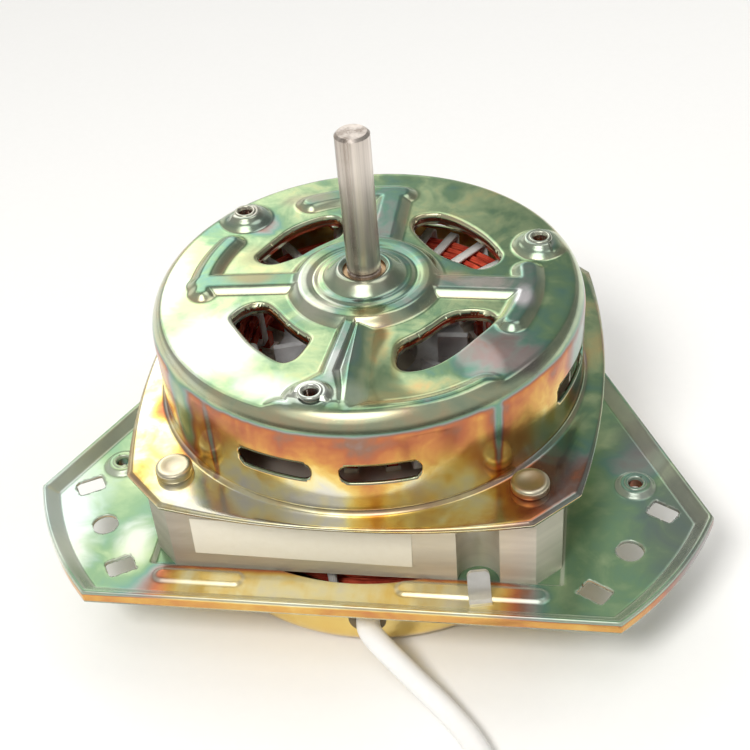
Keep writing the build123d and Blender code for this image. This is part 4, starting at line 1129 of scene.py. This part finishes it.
def plastic(name, dark, light, roughness, relief=0.05, scale=400.0):
    shader = Shader(name)
    grain = shader.noise(scale, 3.0, 0.6)
    return shader.finish(
        Base_Color=shader.mix(grain, dark, light), Roughness=roughness + (grain - 0.5) * 0.1,
        Normal=shader.bump(grain, relief, 0.0002))


sheets = Shader("stack_sheets")
layer = sheets.maths("FRACT", sheets.along("Z") / 0.5)
ridge = sheets.maths("ABSOLUTE", layer - 0.5)
wander = sheets.noise(30.0, 2.0, 0.5, 0.0, sheets.stretched(1, 1, 12))
# Darker towards the left end of the stack: painted dark reflection
side = sheets.along("X").smooth(-58.0, 20.0)
stack_finish = sheets.finish(
    Base_Color=sheets.mix(wander * 0.5 + side * 0.5, (0.40, 0.37, 0.30), (0.86, 0.80, 0.69)),
    Metallic=0.6, Roughness=0.34 + ridge * 0.2, Normal=sheets.bump(ridge, 0.5, 0.0003))

cage_finish = metal("cage_cast", (0.50, 0.50, 0.51), (0.80, 0.80, 0.80), 0.45, scale=120.0, relief=0.2,
                    metallic=0.5)
# Strong dark and light streaks along the shaft: partly grain, partly painted reflection streaks
shaft_finish = metal("shaft_ground", (0.30, 0.25, 0.21), (0.94, 0.86, 0.79), 0.28, scale=260.0,
                     stretch=(1, 1, 0.01), relief=0.03, metallic=0.85)
steel = metal("plain_steel", (0.45, 0.45, 0.44), (0.66, 0.66, 0.64), 0.32)
dark_steel = metal("spring_steel", (0.16, 0.16, 0.17), (0.30, 0.30, 0.31), 0.38)
bright_tin = metal("bright_tin", (0.80, 0.79, 0.75), (0.92, 0.91, 0.88), 0.3, metallic=0.75)
foil = plastic("label_foil", (0.82, 0.77, 0.64), (0.88, 0.84, 0.73), 0.45, 0.03)
bronze = metal("sintered_bronze", (0.44, 0.30, 0.17), (0.66, 0.47, 0.28), 0.42)
enamel = Shader("red_enamel")
enamel_tone = enamel.noise(160.0, 3.0)
enamel_reds = ((0.3, (0.40, 0.03, 0.02)), (0.7, (0.85, 0.14, 0.07)))
enamel_finish = enamel.finish(Base_Color=enamel.ramp(enamel_tone, enamel_reds), Roughness=0.26,
                              Normal=enamel.bump(enamel_tone, 0.1, 0.0003))
tape = Shader("woven_tape")
weave = tape.maths("SINE", tape.along("X") * 9.0) * tape.maths("SINE", tape.along("Y") * 9.0)
tape_finish = tape.finish(Base_Color=tape.mix(weave * 0.5 + 0.5, (0.86, 0.84, 0.79), (0.96, 0.95, 0.92)),
                          Roughness=0.8, Normal=tape.bump(weave, 0.4, 0.0002))
white_sheath = plastic("white_sheath", (0.80, 0.80, 0.79), (0.87, 0.87, 0.86), 0.42, 0.04)
rubber = plastic("brown_rubber", (0.12, 0.085, 0.04), (0.20, 0.15, 0.07), 0.6)
pale = plastic("pale_plastic", (0.78, 0.76, 0.69), (0.86, 0.84, 0.78), 0.5)
felt = plastic("wool_felt", (0.62, 0.57, 0.42), (0.84, 0.80, 0.66), 0.9, 0.6, 900.0)
paper_edge = plastic("slot_paper", (0.78, 0.75, 0.66), (0.90, 0.88, 0.80), 0.8)
core_colours = {
    "live_core": plastic("brown_core", (0.26, 0.10, 0.04), (0.34, 0.15, 0.06), 0.4),
    "start_core": plastic("black_core", (0.02, 0.02, 0.02), (0.05, 0.05, 0.05), 0.4),
    "common_core": plastic("blue_core", (0.04, 0.11, 0.34), (0.07, 0.16, 0.42), 0.4),
}
dressed(cable, white_sheath)
for tail in tails:
    dressed(tail, core_colours[tail["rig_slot"]])
for head in ("upper", "lower"):
    dressed(bpy.data.objects[f"{head}_winding_strands"], enamel_finish)
    dressed(bpy.data.objects[f"{head}_lacing_tapes"], tape_finish)
slot_finishes = {
    "yellow_zinc": lower_film, "lamination_steel": stack_finish, "rotor_laminations": stack_finish,
    "cast_aluminium": cage_finish, "ground_steel": shaft_finish, "spring_steel": dark_steel,
    "washer_plastic": pale, "sintered_bronze": bronze, "pressed_steel": steel, "oil_felt": felt,
    "enamelled_wire": enamel_finish, "lacing_tape": tape_finish, "slot_paper": paper_edge,
    "plated_steel": steel, "bare_foil": foil, "tinned_steel": bright_tin, "grommet_rubber": rubber,
    "tie_plastic": pale, "cable_sheath": white_sheath, "tinned_copper": bright_tin, "splice_sleeve": pale,
    **core_colours,
}
slots = {row["node"]: row["material_slot"] for row in frame["record"]["subparts"]}
for name, node in nodes.items():
    if not node.hide_render:
        dressed(node, slot_finishes[slots[name]])
